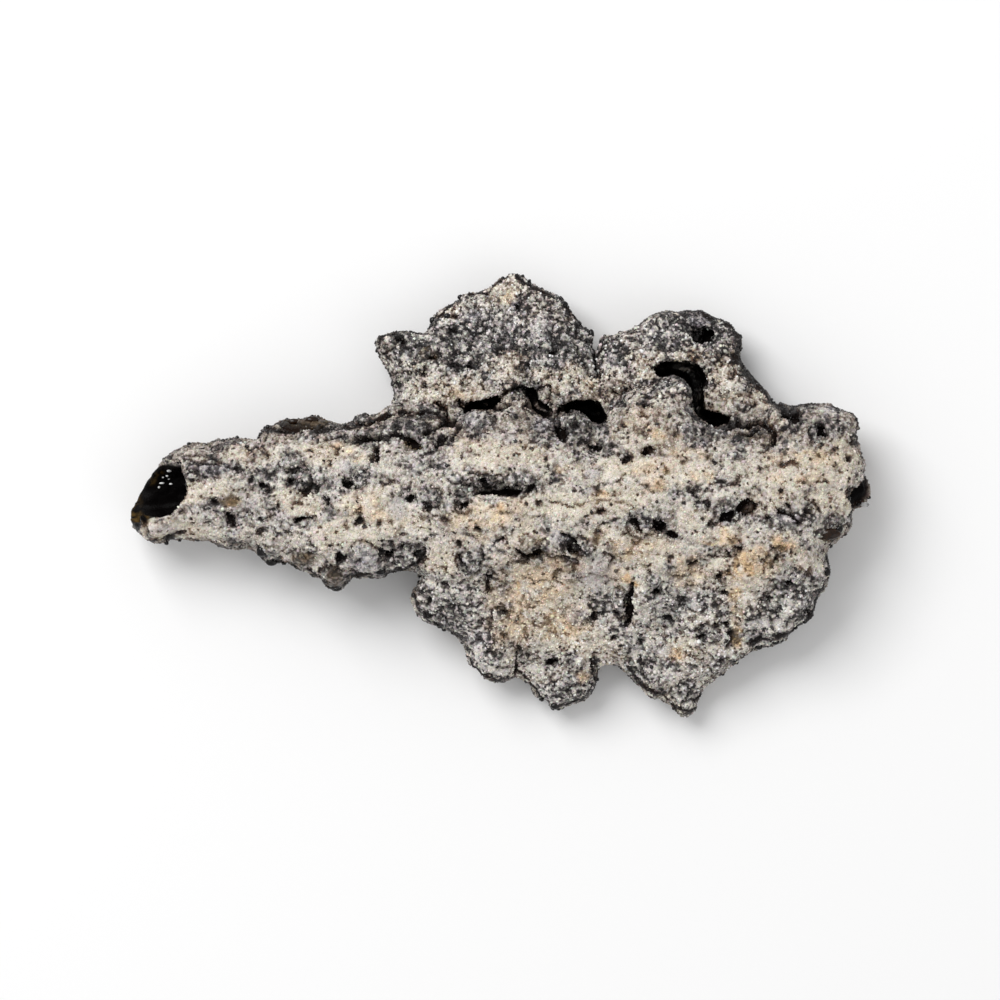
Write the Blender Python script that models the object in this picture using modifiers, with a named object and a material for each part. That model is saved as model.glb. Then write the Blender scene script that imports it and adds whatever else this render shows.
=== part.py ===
"""Fulgurite: a hollow tube of sand fused by lightning, with leaf-like flanges.

The piece lies on its back.  X runs along the tube, Y across it, Z is up.
Every shape is first laid out in plan, in millimetres, then domed, fused with
its neighbours, hollowed, pitted and roughened.  Units in Blender are metres.
"""
import bpy
import bmesh
import math
import numpy as np
from mathutils import Matrix, Vector
from mathutils.bvhtree import BVHTree

MM = 0.001

# Driving dimensions, in millimetres
SLAB_HALF = 1.0          # half thickness of a flat plate before it is domed
FUSE_VOXEL = 0.55        # cell size that fuses the plates into one body
FINISH_VOXEL = 0.5       # cell size after the hollows are cut
SLOT_VOXEL = 0.25        # cell size of the joined posts of the deep openings
PIT_VOXEL = 0.2          # cell size of the joined balls of the pits
WELD_DISTANCE = 0.001    # points closer than this become one
BORE_RADIUS = 2.9        # radius of the tube's hollow at the mouth
SEAT_DEPTH = 0.35        # how much is worn off the underside where it rests
COARSE_BUMP = 1.1        # height of the lumps all over the surface
COARSE_BUMP_SIZE = 4.2
FINE_BUMP = 0.75         # height of the smaller grit
FINE_BUMP_SIZE = 1.5
SOFTENING = 0.5          # share of smoothing per round, before the lumps
SOFTENING_ROUNDS = 2
TRIANGLE_LIMIT = 9300    # triangles of the finished body
TUBE_RIM = 1.6           # half thickness of the tube's plan edge
WING_RIM = 1.1           # and of a wing's edge
LOBE_RIM = 1.2           # and of a lobe's edge
KNOB_STRETCH = (1.15, 1.0, 0.9)
SLOT_CEILING = 22.0      # height of the tops of the posts, above the body
SLOT_STEP = 0.35         # distance between the posts
SLOT_TAPER = (0.75, 1.3)  # a post's radius at its foot and at its top
CLEAR_HEIGHT = 40.0      # height outside the body from which pits are set
GROUND_DEPTH = 10.0      # thickness of the block that wears the underside
GROUND_WIDTH = 200.0

SAND_COLOUR = (0.48, 0.44, 0.37, 1.0)
SAND_ROUGHNESS = 0.85

# The tube along X: half thickness, half width and height of its lowest line
TUBE_STATION = (-45.0, -38.0, -28.0, -15.0, 0.0, 20.0, 34.0, 45.0)
TUBE_HALF_THICKNESS = (4.7, 5.2, 6.1, 7.3, 8.0, 7.7, 7.0, 5.6)
TUBE_HALF_WIDTH = (4.6, 5.4, 7.0, 9.0, 10.0, 10.0, 8.5, 6.0)
TUBE_LIFT = (1.8, 1.0, 0.0, 0.6, 0.9, 0.0, 0.5, 1.6)

# A wing across Y: half thickness and height of its middle; breadth of its
# domed edge; height of its slow wave
WING_STATION = (6.0, 15.0, 20.0, 27.0)
WING_HALF_THICKNESS = (4.6, 3.9, 2.7, 1.8)
WING_MIDDLE = (5.4, 5.2, 5.3, 4.8)
WING_EDGE = 3.4
WING_WAVE = 0.4
LEFT_WING_LEAN = 0.02
RIGHT_WING_LEAN = -0.03
WING_LEAN_FOOT = 10.0

# A lobe across Y, in the same way, from its tip to the tube
LOBE_STATION = (-26.0, -15.0, -10.0, -5.0)
LOBE_HALF_THICKNESS = (2.1, 4.6, 6.1, 7.0)
LOBE_MIDDLE = (5.2, 6.6, 7.6)
LOBE_EDGE = 3.6
LOBE_WAVE = 0.35

TUBE_OUTLINE = (
    (-40.7, 4.8), (-38.6, 5.9), (-35.7, 6.2), (-32.5, 7.1), (-30.1, 6.5),
    (-29.3, 8.2), (-26.7, 8.8), (-24.2, 9.3), (-22.0, 9.5), (-20.0, 8.5),
    (-18.4, 8.5), (-16.8, 9.8), (-14.6, 9.7), (-13.1, 11.3), (-8.8, 9.9),
    (-7.2, 10.4), (-5.1, 8.6), (-2.9, 10.6), (0.1, 11.7), (1.7, 12.7),
    (3.7, 12.5), (4.9, 10.1), (8.4, 10.6), (11.0, 8.6), (13.4, 9.8),
    (14.4, 11.8), (16.1, 13.0), (18.7, 13.7), (20.7, 14.5), (22.9, 14.0),
    (23.4, 12.0), (24.2, 9.8), (27.6, 9.1), (31.7, 8.8), (33.5, 11.3),
    (35.3, 10.9), (38.6, 11.3), (40.3, 11.0), (43.7, 9.0), (43.1, 6.9),
    (44.4, 3.1), (45.0, -0.1), (42.8, -2.5), (42.7, -3.6), (41.0, -5.6),
    (39.0, -7.0), (31.5, -9.8), (21.7, -10.7), (12.0, -11.0), (2.2, -11.0),
    (-5.1, -10.4), (-9.8, -10.1), (-11.1, -9.0), (-13.5, -9.3), (-15.7, -10.2),
    (-17.8, -9.6), (-19.2, -10.4), (-20.6, -11.4), (-22.3, -9.8), (-24.4, -9.2),
    (-26.7, -7.7), (-28.5, -8.2), (-29.8, -7.3), (-30.0, -6.4), (-33.4, -6.6),
    (-36.4, -5.7), (-39.2, -5.3), (-42.8, -6.0), (-44.3, -4.2), (-45.0, -2.0),
    (-43.9, -0.3), (-43.6, 1.6), (-42.1, 3.0),
)

LEFT_WING = (
    (-12.0, 5.0), (-13.9, 10.6), (-13.1, 11.9), (-13.4, 14.5), (-14.8, 16.7),
    (-15.0, 18.1), (-14.5, 19.0), (-13.3, 19.9), (-11.1, 19.9), (-9.3, 19.6),
    (-8.2, 21.7), (-7.4, 22.8), (-6.0, 23.7), (-3.5, 24.8), (-1.5, 24.8),
    (0.1, 26.4), (1.5, 27.0), (3.3, 26.3), (5.1, 25.3), (7.6, 23.7),
    (8.1, 22.8), (9.4, 21.2), (10.7, 20.7), (11.3, 19.8), (11.2, 17.6),
    (11.5, 15.7), (12.6, 5.0),
)

RIGHT_WING = (
    (11.2, 5.0), (11.8, 15.7), (12.0, 18.8), (12.4, 19.3), (13.9, 18.5),
    (14.4, 19.7), (17.0, 20.7), (18.3, 22.4), (22.2, 22.5), (23.5, 22.6),
    (26.7, 21.3), (28.8, 19.5), (28.9, 16.9), (30.7, 14.2), (32.5, 11.9),
    (34.4, 10.9), (34.4, 5.0),
)

LOBE_OUTLINES = (
    ((-8.0, -4.0), (-10.9, -8.7), (-9.8, -10.1), (-10.6, -11.2), (-11.0, -13.1),
     (-10.2, -14.6), (-8.3, -15.9), (-6.1, -16.9), (-4.8, -18.1), (-4.3, -20.2),
     (-1.7, -22.6), (0.2, -23.1), (1.8, -21.7), (2.6, -17.8), (3.4, -4.0)),
    ((0.2, -4.0), (1.1, -17.8), (2.1, -21.8), (3.4, -23.5), (4.1, -24.8),
     (6.0, -25.3), (6.7, -26.3), (9.0, -25.8), (10.9, -24.3), (11.5, -23.0),
     (11.7, -21.0), (12.6, -20.2), (13.6, -17.8), (13.9, -4.0)),
    ((11.2, -4.0), (11.8, -17.8), (12.3, -21.0), (14.2, -20.4), (15.5, -21.9),
     (17.6, -24.2), (19.2, -24.9), (21.1, -25.9), (22.9, -27.0), (23.9, -25.4),
     (24.2, -24.3), (25.7, -22.4), (28.5, -20.4), (30.2, -19.2), (30.5, -4.0)),
    ((26.6, -2.0), (26.9, -19.6), (28.5, -20.4), (30.7, -19.1), (31.8, -18.4),
     (33.3, -18.6), (35.0, -17.4), (35.9, -16.3), (37.7, -15.2), (38.4, -12.6),
     (39.8, -11.0), (40.0, -9.3), (39.6, -7.4), (39.6, -5.6), (41.0, -4.8),
     (38.2, 0.0)),
)
LOBE_TIP_MIDDLES = (3.4, 2.2, 3.0, 3.9)

# Small knobs: x, y, height of the centre, radius
KNOBS = (
    (-25.8, 8.6, 7.4, 1.1), (-23.2, 9.0, 7.6, 1.1), (-16.8, 9.2, 8.0, 1.0),
    (-28.4, -7.4, 5.2, 1.0), (-20.2, -10.2, 5.6, 1.4), (-24.0, -8.6, 5.0, 1.1),
    (-16.4, -8.4, 8.0, 1.5), (-12.4, -8.6, 6.4, 1.1), (-14.0, 18.6, 6.6, 1.2),
    (40.4, -4.6, 6.2, 1.0), (22.2, 12.8, 11.6, 1.5), (33.8, 8.2, 13.0, 1.3),
    (-3.4, -8.0, 13.0, 1.6), (2.9, -5.4, 15.2, 1.5), (7.4, -6.2, 15.0, 1.4),
    (10.4, -6.2, 14.6, 1.3), (-2.9, 8.8, 12.8, 1.6), (8.8, 8.0, 13.4, 2.3),
    (38.6, 7.2, 11.4, 1.7), (-35.6, 4.4, 8.4, 1.4), (35.6, -9.8, 6.8, 1.4),
    (20.0, 21.4, 7.6, 1.0), (1.4, 25.6, 6.4, 1.0), (-7.0, -14.6, 6.6, 1.6),
    (-30.0, 4.2, 1.8, 2.0), (-25.0, -5.0, 2.0, 2.2), (-14.0, 7.0, 3.2, 2.4),
    (-6.0, 12.5, 1.8, 1.9), (0.0, -12.5, 1.6, 2.2), (4.0, 19.5, 2.2, 1.6),
    (13.5, 12.0, 1.9, 2.0), (15.0, -7.5, 2.0, 2.4), (22.5, 12.0, 1.9, 1.9),
    (27.0, -15.5, 1.8, 1.9), (32.0, 8.0, 3.0, 2.3), (36.5, -8.0, 2.6, 2.0),
)

# Pits in the upper face: x, y, radius, depth
TOP_PITS = (
    (-32.0, 3.0, 1.1, 1.0), (-28.9, 0.8, 1.2, 1.1), (-24.0, 2.3, 1.1, 1.0),
    (-22.7, 0.8, 1.0, 0.9), (-18.0, 1.6, 1.3, 1.2), (-24.2, -3.1, 1.1, 1.0),
    (-32.8, -3.1, 1.1, 1.0), (-17.4, -3.4, 0.9, 0.8), (-19.5, -7.4, 1.0, 0.9),
    (-14.2, -7.1, 1.1, 1.1), (-9.8, -7.3, 1.2, 1.1), (-10.7, 6.2, 1.1, 1.0),
    (-7.4, 6.5, 1.0, 0.9), (-10.7, -0.5, 1.3, 1.0), (-8.9, -1.4, 1.0, 0.8),
    (-4.1, -1.3, 1.1, 1.0), (7.0, 7.7, 1.1, 1.2), (11.5, 5.5, 1.2, 1.1),
    (14.9, 4.1, 1.0, 0.9), (18.1, 5.2, 1.0, 0.9), (16.3, -3.4, 1.5, 1.5),
    (19.2, -3.6, 1.0, 0.9), (20.7, -4.9, 1.0, 0.9), (24.8, -1.4, 1.1, 1.1),
    (27.2, -2.6, 1.2, 1.1), (29.6, -1.4, 1.1, 1.1), (35.0, 9.6, 1.2, 1.1),
    (38.8, 7.7, 0.9, 1.1), (-1.5, -9.7, 1.1, 1.1), (7.4, -9.9, 1.1, 1.1),
    (3.4, -7.5, 1.2, 1.0), (8.5, -6.2, 1.2, 1.0), (13.9, -14.3, 1.1, 1.1),
    (11.3, -15.3, 1.1, 1.1), (27.0, -11.9, 1.1, 1.0), (33.3, -8.0, 1.1, 1.0),
    (26.4, -7.2, 1.2, 1.0), (-18.4, 7.0, 1.1, 1.0), (-15.4, 5.1, 0.9, 1.0),
    (-5.6, -13.6, 1.0, 0.9), (20.8, -19.6, 1.0, 0.9), (6.0, -20.4, 1.0, 0.9),
)

# Pits in the underside: x, y, radius, depth
UNDER_PITS = (
    (-36.0, 2.0, 1.3, 1.0), (-31.0, -3.0, 1.5, 1.1), (-21.0, 5.5, 1.6, 1.3),
    (-18.0, -5.5, 1.5, 1.2), (-11.0, 4.0, 1.4, 1.0), (-9.0, -8.0, 1.6, 1.2),
    (-9.5, 15.5, 1.5, 1.0), (-4.0, 20.0, 1.6, 1.1), (-2.0, 7.0, 1.8, 1.4),
    (-3.5, -17.0, 1.4, 1.0), (4.0, 14.0, 1.6, 1.2), (5.0, -4.0, 1.4, 0.9),
    (6.5, -20.0, 1.4, 1.0), (9.0, 5.5, 1.5, 1.1), (10.0, -11.5, 1.8, 1.3),
    (17.0, 8.0, 1.7, 1.3), (18.5, -18.0, 1.6, 1.1), (20.0, 19.0, 1.4, 0.9),
    (23.0, -8.5, 1.7, 1.3), (28.0, 6.5, 1.5, 1.1), (30.0, -14.0, 1.6, 1.1),
    (34.0, -5.5, 1.5, 1.2), (38.0, 5.0, 1.6, 1.2),
)

# Deep black openings and cracks, each a path of x, y, half width, floor height
DEEP_SLOTS = (
    ((8.9, 10.4, 0.9, 4.6), (10.6, 10.3, 1.5, 3.6), (12.4, 9.0, 1.0, 4.2)),
    ((19.6, 15.2, 1.2, 4.0), (21.6, 15.4, 0.9, 4.4), (23.6, 14.6, 1.6, 3.2),
     (24.0, 12.2, 0.9, 3.8), (23.8, 10.4, 0.9, 3.6), (25.0, 9.2, 1.1, 3.6),
     (27.2, 9.1, 0.8, 4.6), (29.8, 9.4, 0.45, 6.0), (32.4, 8.8, 0.45, 7.0)),
    ((23.8, 19.8, 1.0, 5.2), (25.2, 19.2, 1.1, 5.0), (26.0, 18.6, 0.9, 5.4)),
    ((-14.6, 9.0, 0.45, 7.0), (-9.4, 9.9, 0.55, 6.6), (-7.2, 10.4, 0.6, 6.2),
     (-5.9, 8.7, 0.5, 7.0)),
    ((-4.4, 10.4, 0.6, 6.4), (-2.9, 10.6, 0.8, 5.4), (-1.0, 10.9, 0.8, 5.6),
     (1.7, 12.7, 0.5, 6.2), (3.8, 12.4, 0.8, 5.4), (4.9, 9.9, 0.6, 6.4),
     (6.6, 10.1, 0.6, 6.2), (8.9, 10.4, 0.8, 5.2)),
    ((15.4, -11.6, 0.6, 4.2), (15.4, -13.8, 0.7, 4.0), (15.3, -16.0, 0.5, 4.6)),
    ((11.8, 20.8, 0.95, -2.0), (11.6, 17.8, 0.7, -2.0), (11.7, 15.4, 0.45, 4.6)),
    ((-6.0, -0.2, 0.6, 14.6), (-1.0, 0.7, 0.9, 13.8), (1.6, 0.6, 0.9, 14.0),
     (4.4, 0.0, 0.6, 15.0)),
)

# Where the upper wall is broken away: middle, reach, spin and lean in degrees
MOUTH_BREAK = ((-41.4, 0.9, 9.6), (3.3, 3.9, 6.5), -24.0, -22.0)
FAR_END_BREAK = ((44.4, -0.4, 11.0), (2.5, 1.9, 6.0), 8.0, 12.0)

# Hollow along the tube: x, y, z, share of BORE_RADIUS
BORE_PATH = (
    (-47.0, -0.6, 6.9, 1.05), (-41.0, -0.4, 6.6, 1.05), (-34.0, -0.2, 6.2, 0.9),
    (-24.0, -0.4, 6.0, 0.85), (-12.0, -0.2, 6.4, 0.85), (2.0, 0.2, 6.8, 0.8),
    (16.0, 0.8, 6.8, 0.75), (30.0, 1.2, 7.2, 0.7), (40.0, 0.6, 7.8, 0.65),
    (47.0, -0.4, 8.2, 0.75),
)


def clear_scene():
    for existing in list(bpy.data.objects):
        bpy.data.objects.remove(existing, do_unlink=True)


def new_collection(name):
    collection = bpy.data.collections.new(name)
    bpy.context.scene.collection.children.link(collection)
    return collection


def sand_material():
    material = bpy.data.materials.new("fused sand")
    material.use_nodes = True
    shader = material.node_tree.nodes["Principled BSDF"]
    shader.inputs["Base Color"].default_value = SAND_COLOUR
    shader.inputs["Roughness"].default_value = SAND_ROUGHNESS
    shader.inputs["Metallic"].default_value = 0.0
    return material


def settle_modifiers(shape):
    """Turn an object with modifiers, or a curve, into a plain mesh object."""
    bpy.context.view_layer.update()
    graph = bpy.context.evaluated_depsgraph_get()
    mesh = bpy.data.meshes.new_from_object(shape.evaluated_get(graph))
    settled = bpy.data.objects.new(shape.name, mesh)
    settled.matrix_world = shape.matrix_world
    for collection in list(shape.users_collection):
        collection.objects.link(settled)
    bpy.data.objects.remove(shape, do_unlink=True)
    welded = bmesh.new()
    welded.from_mesh(mesh)
    bmesh.ops.remove_doubles(welded, verts=welded.verts, dist=WELD_DISTANCE * MM)
    welded.to_mesh(mesh)
    welded.free()
    return settled


def remeshed(shape, voxel):
    """Rebuild the shape's skin in even cells, which fuses what overlaps."""
    modifier = shape.modifiers.new("even cells", 'REMESH')
    modifier.mode = 'VOXEL'
    modifier.voxel_size = voxel * MM
    modifier.adaptivity = 0.0
    return settle_modifiers(shape)


def joined(name, shapes, collection):
    """Put several meshes in one object; they still overlap."""
    together = bmesh.new()
    for shape in shapes:
        shape.data.transform(shape.matrix_world)
        together.from_mesh(shape.data)
        bpy.data.objects.remove(shape, do_unlink=True)
    mesh = bpy.data.meshes.new(name)
    together.to_mesh(mesh)
    together.free()
    result = bpy.data.objects.new(name, mesh)
    collection.objects.link(result)
    return result


def flat_slab(name, outline, collection):
    """A filled outline in plan, SLAB_HALF thick each way, in even cells."""
    curve = bpy.data.curves.new(name, 'CURVE')
    curve.dimensions = '2D'
    curve.fill_mode = 'BOTH'
    curve.extrude = SLAB_HALF * MM
    spline = curve.splines.new('POLY')
    spline.points.add(len(outline) - 1)
    for point, (x, y) in zip(spline.points, outline):
        point.co = (x * MM, y * MM, 0.0, 1.0)
    spline.use_cyclic_u = True
    slab = bpy.data.objects.new(name, curve)
    collection.objects.link(slab)
    return remeshed(settle_modifiers(slab), FUSE_VOXEL)


def distance_inside(points, outline):
    """Distance in plan from each point to the nearest side of the outline."""
    corners = np.array(outline)
    ends = np.roll(corners, -1, axis=0)
    nearest = np.full(len(points), np.inf)
    for start, end in zip(corners, ends):
        side = end - start
        along = np.clip(((points - start) @ side) / (side @ side), 0.0, 1.0)
        foot = start + along[:, None] * side
        nearest = np.minimum(nearest, np.linalg.norm(points - foot, axis=1))
    return nearest


def dome(slab, outline, rim, half_width, half_thickness, middle):
    """Swell a slab from its rim to half_thickness, about the surface middle.

    half_width, half_thickness and middle are functions of the plan x and y.
    """
    mesh = slab.data
    positions = np.empty(len(mesh.vertices) * 3)
    mesh.vertices.foreach_get("co", positions)
    positions = positions.reshape(-1, 3) / MM
    x, y = positions[:, 0], positions[:, 1]
    inward = np.minimum(distance_inside(positions[:, :2], outline) / half_width(x, y), 1.0)
    swell = np.sqrt(1.0 - (1.0 - inward) ** 2)
    half = rim + (half_thickness(x, y) - rim) * swell
    level = np.clip(positions[:, 2] / SLAB_HALF, -1.0, 1.0)
    positions[:, 2] = middle(x, y) + level * half
    mesh.vertices.foreach_set("co", (positions * MM).ravel())
    mesh.update()
    return slab


def tube_form(collection):
    """The thick tube that everything else grows from."""
    slab = flat_slab("tube", TUBE_OUTLINE, collection)

    def half_thickness(x, y):
        return np.interp(x, TUBE_STATION, TUBE_HALF_THICKNESS)

    def half_width(x, y):
        return np.interp(x, TUBE_STATION, TUBE_HALF_WIDTH)

    def middle(x, y):
        return half_thickness(x, y) + np.interp(x, TUBE_STATION, TUBE_LIFT)

    return dome(slab, TUBE_OUTLINE, TUBE_RIM, half_width, half_thickness, middle)


def wing_form(name, outline, lean, collection):
    """A thin leaf that leaves the tube's far side, lower than the crest."""
    slab = flat_slab(name, outline, collection)

    def half_thickness(x, y):
        return np.interp(y, WING_STATION, WING_HALF_THICKNESS)

    def half_width(x, y):
        return np.full_like(x, WING_EDGE)

    def middle(x, y):
        wave = WING_WAVE * np.sin(0.42 * x + 0.3 * y)
        return np.interp(y, WING_STATION, WING_MIDDLE) + lean * (x - WING_LEAN_FOOT) + wave

    return dome(slab, outline, WING_RIM, half_width, half_thickness, middle)


def lobe_form(name, outline, tip_middle, collection):
    """A lobe that slopes from the tube's near side down to the ground."""
    slab = flat_slab(name, outline, collection)

    def half_thickness(x, y):
        return np.interp(y, LOBE_STATION, LOBE_HALF_THICKNESS)

    def half_width(x, y):
        return np.full_like(x, LOBE_EDGE)

    def middle(x, y):
        wave = LOBE_WAVE * np.sin(0.55 * x - 0.4 * y)
        return np.interp(y, LOBE_STATION, (tip_middle, *LOBE_MIDDLE)) + wave

    return dome(slab, outline, LOBE_RIM, half_width, half_thickness, middle)


def knob(index, collection):
    x, y, z, radius = KNOBS[index]
    ball = bmesh.new()
    bmesh.ops.create_icosphere(ball, subdivisions=2, radius=radius * MM)
    bmesh.ops.scale(ball, vec=KNOB_STRETCH, verts=ball.verts)
    bmesh.ops.translate(ball, vec=Vector((x, y, z)) * MM, verts=ball.verts)
    mesh = bpy.data.meshes.new(f"knob {index}")
    ball.to_mesh(mesh)
    ball.free()
    shape = bpy.data.objects.new(f"knob {index}", mesh)
    collection.objects.link(shape)
    return shape


def fused_body(collection):
    """Tube, wings, lobes and knobs, grown together in one skin."""
    shapes = [tube_form(collection)]
    shapes.append(wing_form("left wing", LEFT_WING, LEFT_WING_LEAN, collection))
    shapes.append(wing_form("right wing", RIGHT_WING, RIGHT_WING_LEAN, collection))
    for index, outline in enumerate(LOBE_OUTLINES):
        shapes.append(lobe_form(f"lobe {index}", outline, LOBE_TIP_MIDDLES[index], collection))
    for index in range(len(KNOBS)):
        shapes.append(knob(index, collection))
    return remeshed(joined("fulgurite", shapes, collection), FUSE_VOXEL)


def as_cutter(shape):
    shape.hide_render = True
    shape.display_type = 'WIRE'
    return shape


def bore_cutter(collection):
    """The tube's hollow, open at both ends."""
    curve = bpy.data.curves.new("bore", 'CURVE')
    curve.dimensions = '3D'
    curve.bevel_depth = BORE_RADIUS * MM
    curve.bevel_resolution = 3
    curve.use_fill_caps = True
    spline = curve.splines.new('POLY')
    spline.points.add(len(BORE_PATH) - 1)
    for point, (x, y, z, share) in zip(spline.points, BORE_PATH):
        point.co = (x * MM, y * MM, z * MM, 1.0)
        point.radius = share
    bore = bpy.data.objects.new("bore", curve)
    collection.objects.link(bore)
    return settle_modifiers(bore)


def end_cutter(name, middle, reach, spin, lean, collection):
    """Breaks the tube's upper wall away at one of its ends, on a slant."""
    ball = bmesh.new()
    bmesh.ops.create_icosphere(ball, subdivisions=3, radius=1.0 * MM)
    bmesh.ops.scale(ball, vec=reach, verts=ball.verts)
    spun = Matrix.Rotation(math.radians(spin), 3, 'Z')
    slant = spun @ Matrix.Rotation(math.radians(lean), 3, 'Y')
    bmesh.ops.rotate(ball, matrix=slant, cent=(0.0, 0.0, 0.0), verts=ball.verts)
    bmesh.ops.translate(ball, vec=Vector(middle) * MM, verts=ball.verts)
    mesh = bpy.data.meshes.new(name)
    ball.to_mesh(mesh)
    ball.free()
    broken = bpy.data.objects.new(name, mesh)
    collection.objects.link(broken)
    return broken


def slot_cutter(index, collection):
    """Upright posts set close together along one deep opening's path."""
    path = np.array(DEEP_SLOTS[index])
    steps = np.linalg.norm(np.diff(path[:, :2], axis=0), axis=1)
    reach = np.concatenate(([0.0], np.cumsum(steps)))
    foot_share, top_share = SLOT_TAPER
    posts = bmesh.new()
    for distance in np.arange(0.0, reach[-1] + 0.01, SLOT_STEP):
        x, y, radius, floor = (np.interp(distance, reach, path[:, column]) for column in range(4))
        place = Matrix.Translation(Vector((x, y, (floor + SLOT_CEILING) / 2.0)) * MM)
        bmesh.ops.create_cone(posts, cap_ends=True, segments=10, radius1=foot_share * radius * MM,
                              radius2=top_share * radius * MM,
                              depth=(SLOT_CEILING - floor) * MM, matrix=place)
    mesh = bpy.data.meshes.new(f"slot {index}")
    posts.to_mesh(mesh)
    posts.free()
    slot = bpy.data.objects.new(f"slot {index}", mesh)
    collection.objects.link(slot)
    return slot


def pit_cutters(body, collection):
    """Balls sunk into both faces of the body to the depth of each pit."""
    surface = BVHTree.FromObject(body, bpy.context.evaluated_depsgraph_get())
    balls = bmesh.new()
    for pits, outward in ((TOP_PITS, 1.0), (UNDER_PITS, -1.0)):
        up = Vector((0.0, 0.0, outward))
        for x, y, radius, depth in pits:
            hit = surface.ray_cast(Vector((x, y, CLEAR_HEIGHT * outward)) * MM, -up)[0]
            middle = hit + up * (radius - depth) * MM
            bmesh.ops.create_icosphere(balls, subdivisions=2, radius=radius * MM,
                                       matrix=Matrix.Translation(middle))
    mesh = bpy.data.meshes.new("pits")
    balls.to_mesh(mesh)
    balls.free()
    pits = bpy.data.objects.new("pits", mesh)
    collection.objects.link(pits)
    return pits


def cut(body, cutter):
    modifier = body.modifiers.new(cutter.name, 'BOOLEAN')
    modifier.operation = 'DIFFERENCE'
    modifier.solver = 'EXACT'
    modifier.object = cutter
    return settle_modifiers(body)


def hollow(body, cutters):
    """Take the bore, the mouth, the deep openings and the pits out of the body.

    The skin is rebuilt between the cuts, because a cut skin has slivers.
    """
    slots = [slot_cutter(index, cutters) for index in range(len(DEEP_SLOTS))]
    tools = [bore_cutter(cutters), end_cutter("mouth", *MOUTH_BREAK, cutters)]
    tools.append(end_cutter("far end", *FAR_END_BREAK, cutters))
    tools.append(remeshed(joined("deep slots", slots, cutters), SLOT_VOXEL))
    for tool in tools:
        body = cut(body, as_cutter(tool))
    body = remeshed(body, FINISH_VOXEL)
    pits = remeshed(pit_cutters(body, cutters), PIT_VOXEL)
    return remeshed(cut(body, as_cutter(pits)), FINISH_VOXEL)


def roughen(body):
    """Soften the cell pattern, then raise lumps and grit."""
    smooth = body.modifiers.new("soften", 'SMOOTH')
    smooth.factor = SOFTENING
    smooth.iterations = SOFTENING_ROUNDS
    layers = (("lumps", COARSE_BUMP, COARSE_BUMP_SIZE), ("grit", FINE_BUMP, FINE_BUMP_SIZE))
    for name, height, size in layers:
        texture = bpy.data.textures.new(name, 'CLOUDS')
        texture.noise_scale = size * MM
        texture.noise_depth = 1
        displace = body.modifiers.new(name, 'DISPLACE')
        displace.texture = texture
        displace.texture_coords = 'LOCAL'
        displace.mid_level = 0.5
        displace.strength = height * MM
    return settle_modifiers(body)


def largest_shell(body):
    """Delete specks and closed bubbles that are apart from the main skin."""
    skin = bmesh.new()
    skin.from_mesh(body.data)
    skin.verts.ensure_lookup_table()
    unseen = set(skin.verts)
    shells = []
    while unseen:
        shell = {unseen.pop()}
        front = list(shell)
        while front:
            vertex = front.pop()
            for edge in vertex.link_edges:
                other = edge.other_vert(vertex)
                if other in unseen:
                    unseen.discard(other)
                    shell.add(other)
                    front.append(other)
        shells.append(shell)
    shells.sort(key=len)
    for shell in shells[:-1]:
        bmesh.ops.delete(skin, geom=list(shell), context='VERTS')
    skin.to_mesh(body.data)
    skin.free()
    return body


def corners(body):
    """Lowest and highest corner of the body's box."""
    points = np.array([vertex.co[:] for vertex in body.data.vertices])
    return points.min(axis=0), points.max(axis=0)


def seat(body, collection):
    """Wear the lowest bumps flat, where the piece rests."""
    worn = corners(body)[0][2] / MM + SEAT_DEPTH
    bpy.ops.mesh.primitive_cube_add(size=1.0, location=(0.0, 0.0, (worn - GROUND_DEPTH / 2.0) * MM))
    ground = bpy.context.active_object
    ground.name = "ground"
    size = Vector((GROUND_WIDTH, GROUND_WIDTH, GROUND_DEPTH)) * MM
    ground.data.transform(Matrix.Diagonal((*size, 1.0)))
    for owner in list(ground.users_collection):
        owner.objects.unlink(ground)
    collection.objects.link(ground)
    return cut(body, as_cutter(ground))


def centre(body):
    """Put the origin at the middle of the underside of the body's box."""
    low, high = corners(body)
    shift = Vector((-(low[0] + high[0]) / 2.0, -(low[1] + high[1]) / 2.0, -low[2]))
    body.data.transform(Matrix.Translation(shift))
    return body


def triangulated(body):
    body.modifiers.new("triangles", 'TRIANGULATE')
    return settle_modifiers(body)


def simplify(body):
    """Keep the larger facets only."""
    body = triangulated(body)
    decimate = body.modifiers.new("fewer facets", 'DECIMATE')
    decimate.ratio = TRIANGLE_LIMIT / len(body.data.polygons)
    return settle_modifiers(body)


def main():
    clear_scene()
    parts = new_collection("fulgurite")
    cutters = new_collection("cutters")
    body = fused_body(parts)
    body = hollow(body, cutters)
    body = simplify(largest_shell(roughen(body)))
    body = centre(triangulated(seat(body, cutters)))
    body.name = "fulgurite"
    body.data.materials.clear()
    body.data.materials.append(sand_material())


main()
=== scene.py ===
"""The looks of a fulgurite: a hollow tube of sand that was fused by lightning, with flat
wings and lobes of the same crust.

The script is laid out as an add-on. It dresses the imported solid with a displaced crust,
joined sand grains, dark glass beads, a pale floor, soft lights and a camera. Shapes are
worked out in millimetres and written to the meshes in metres.
"""

import itertools
import math

import bmesh
import bpy
import numpy as np
from bpy.props import FloatProperty, FloatVectorProperty, IntProperty, PointerProperty
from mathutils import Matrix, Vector
from mathutils.bvhtree import BVHTree


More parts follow.
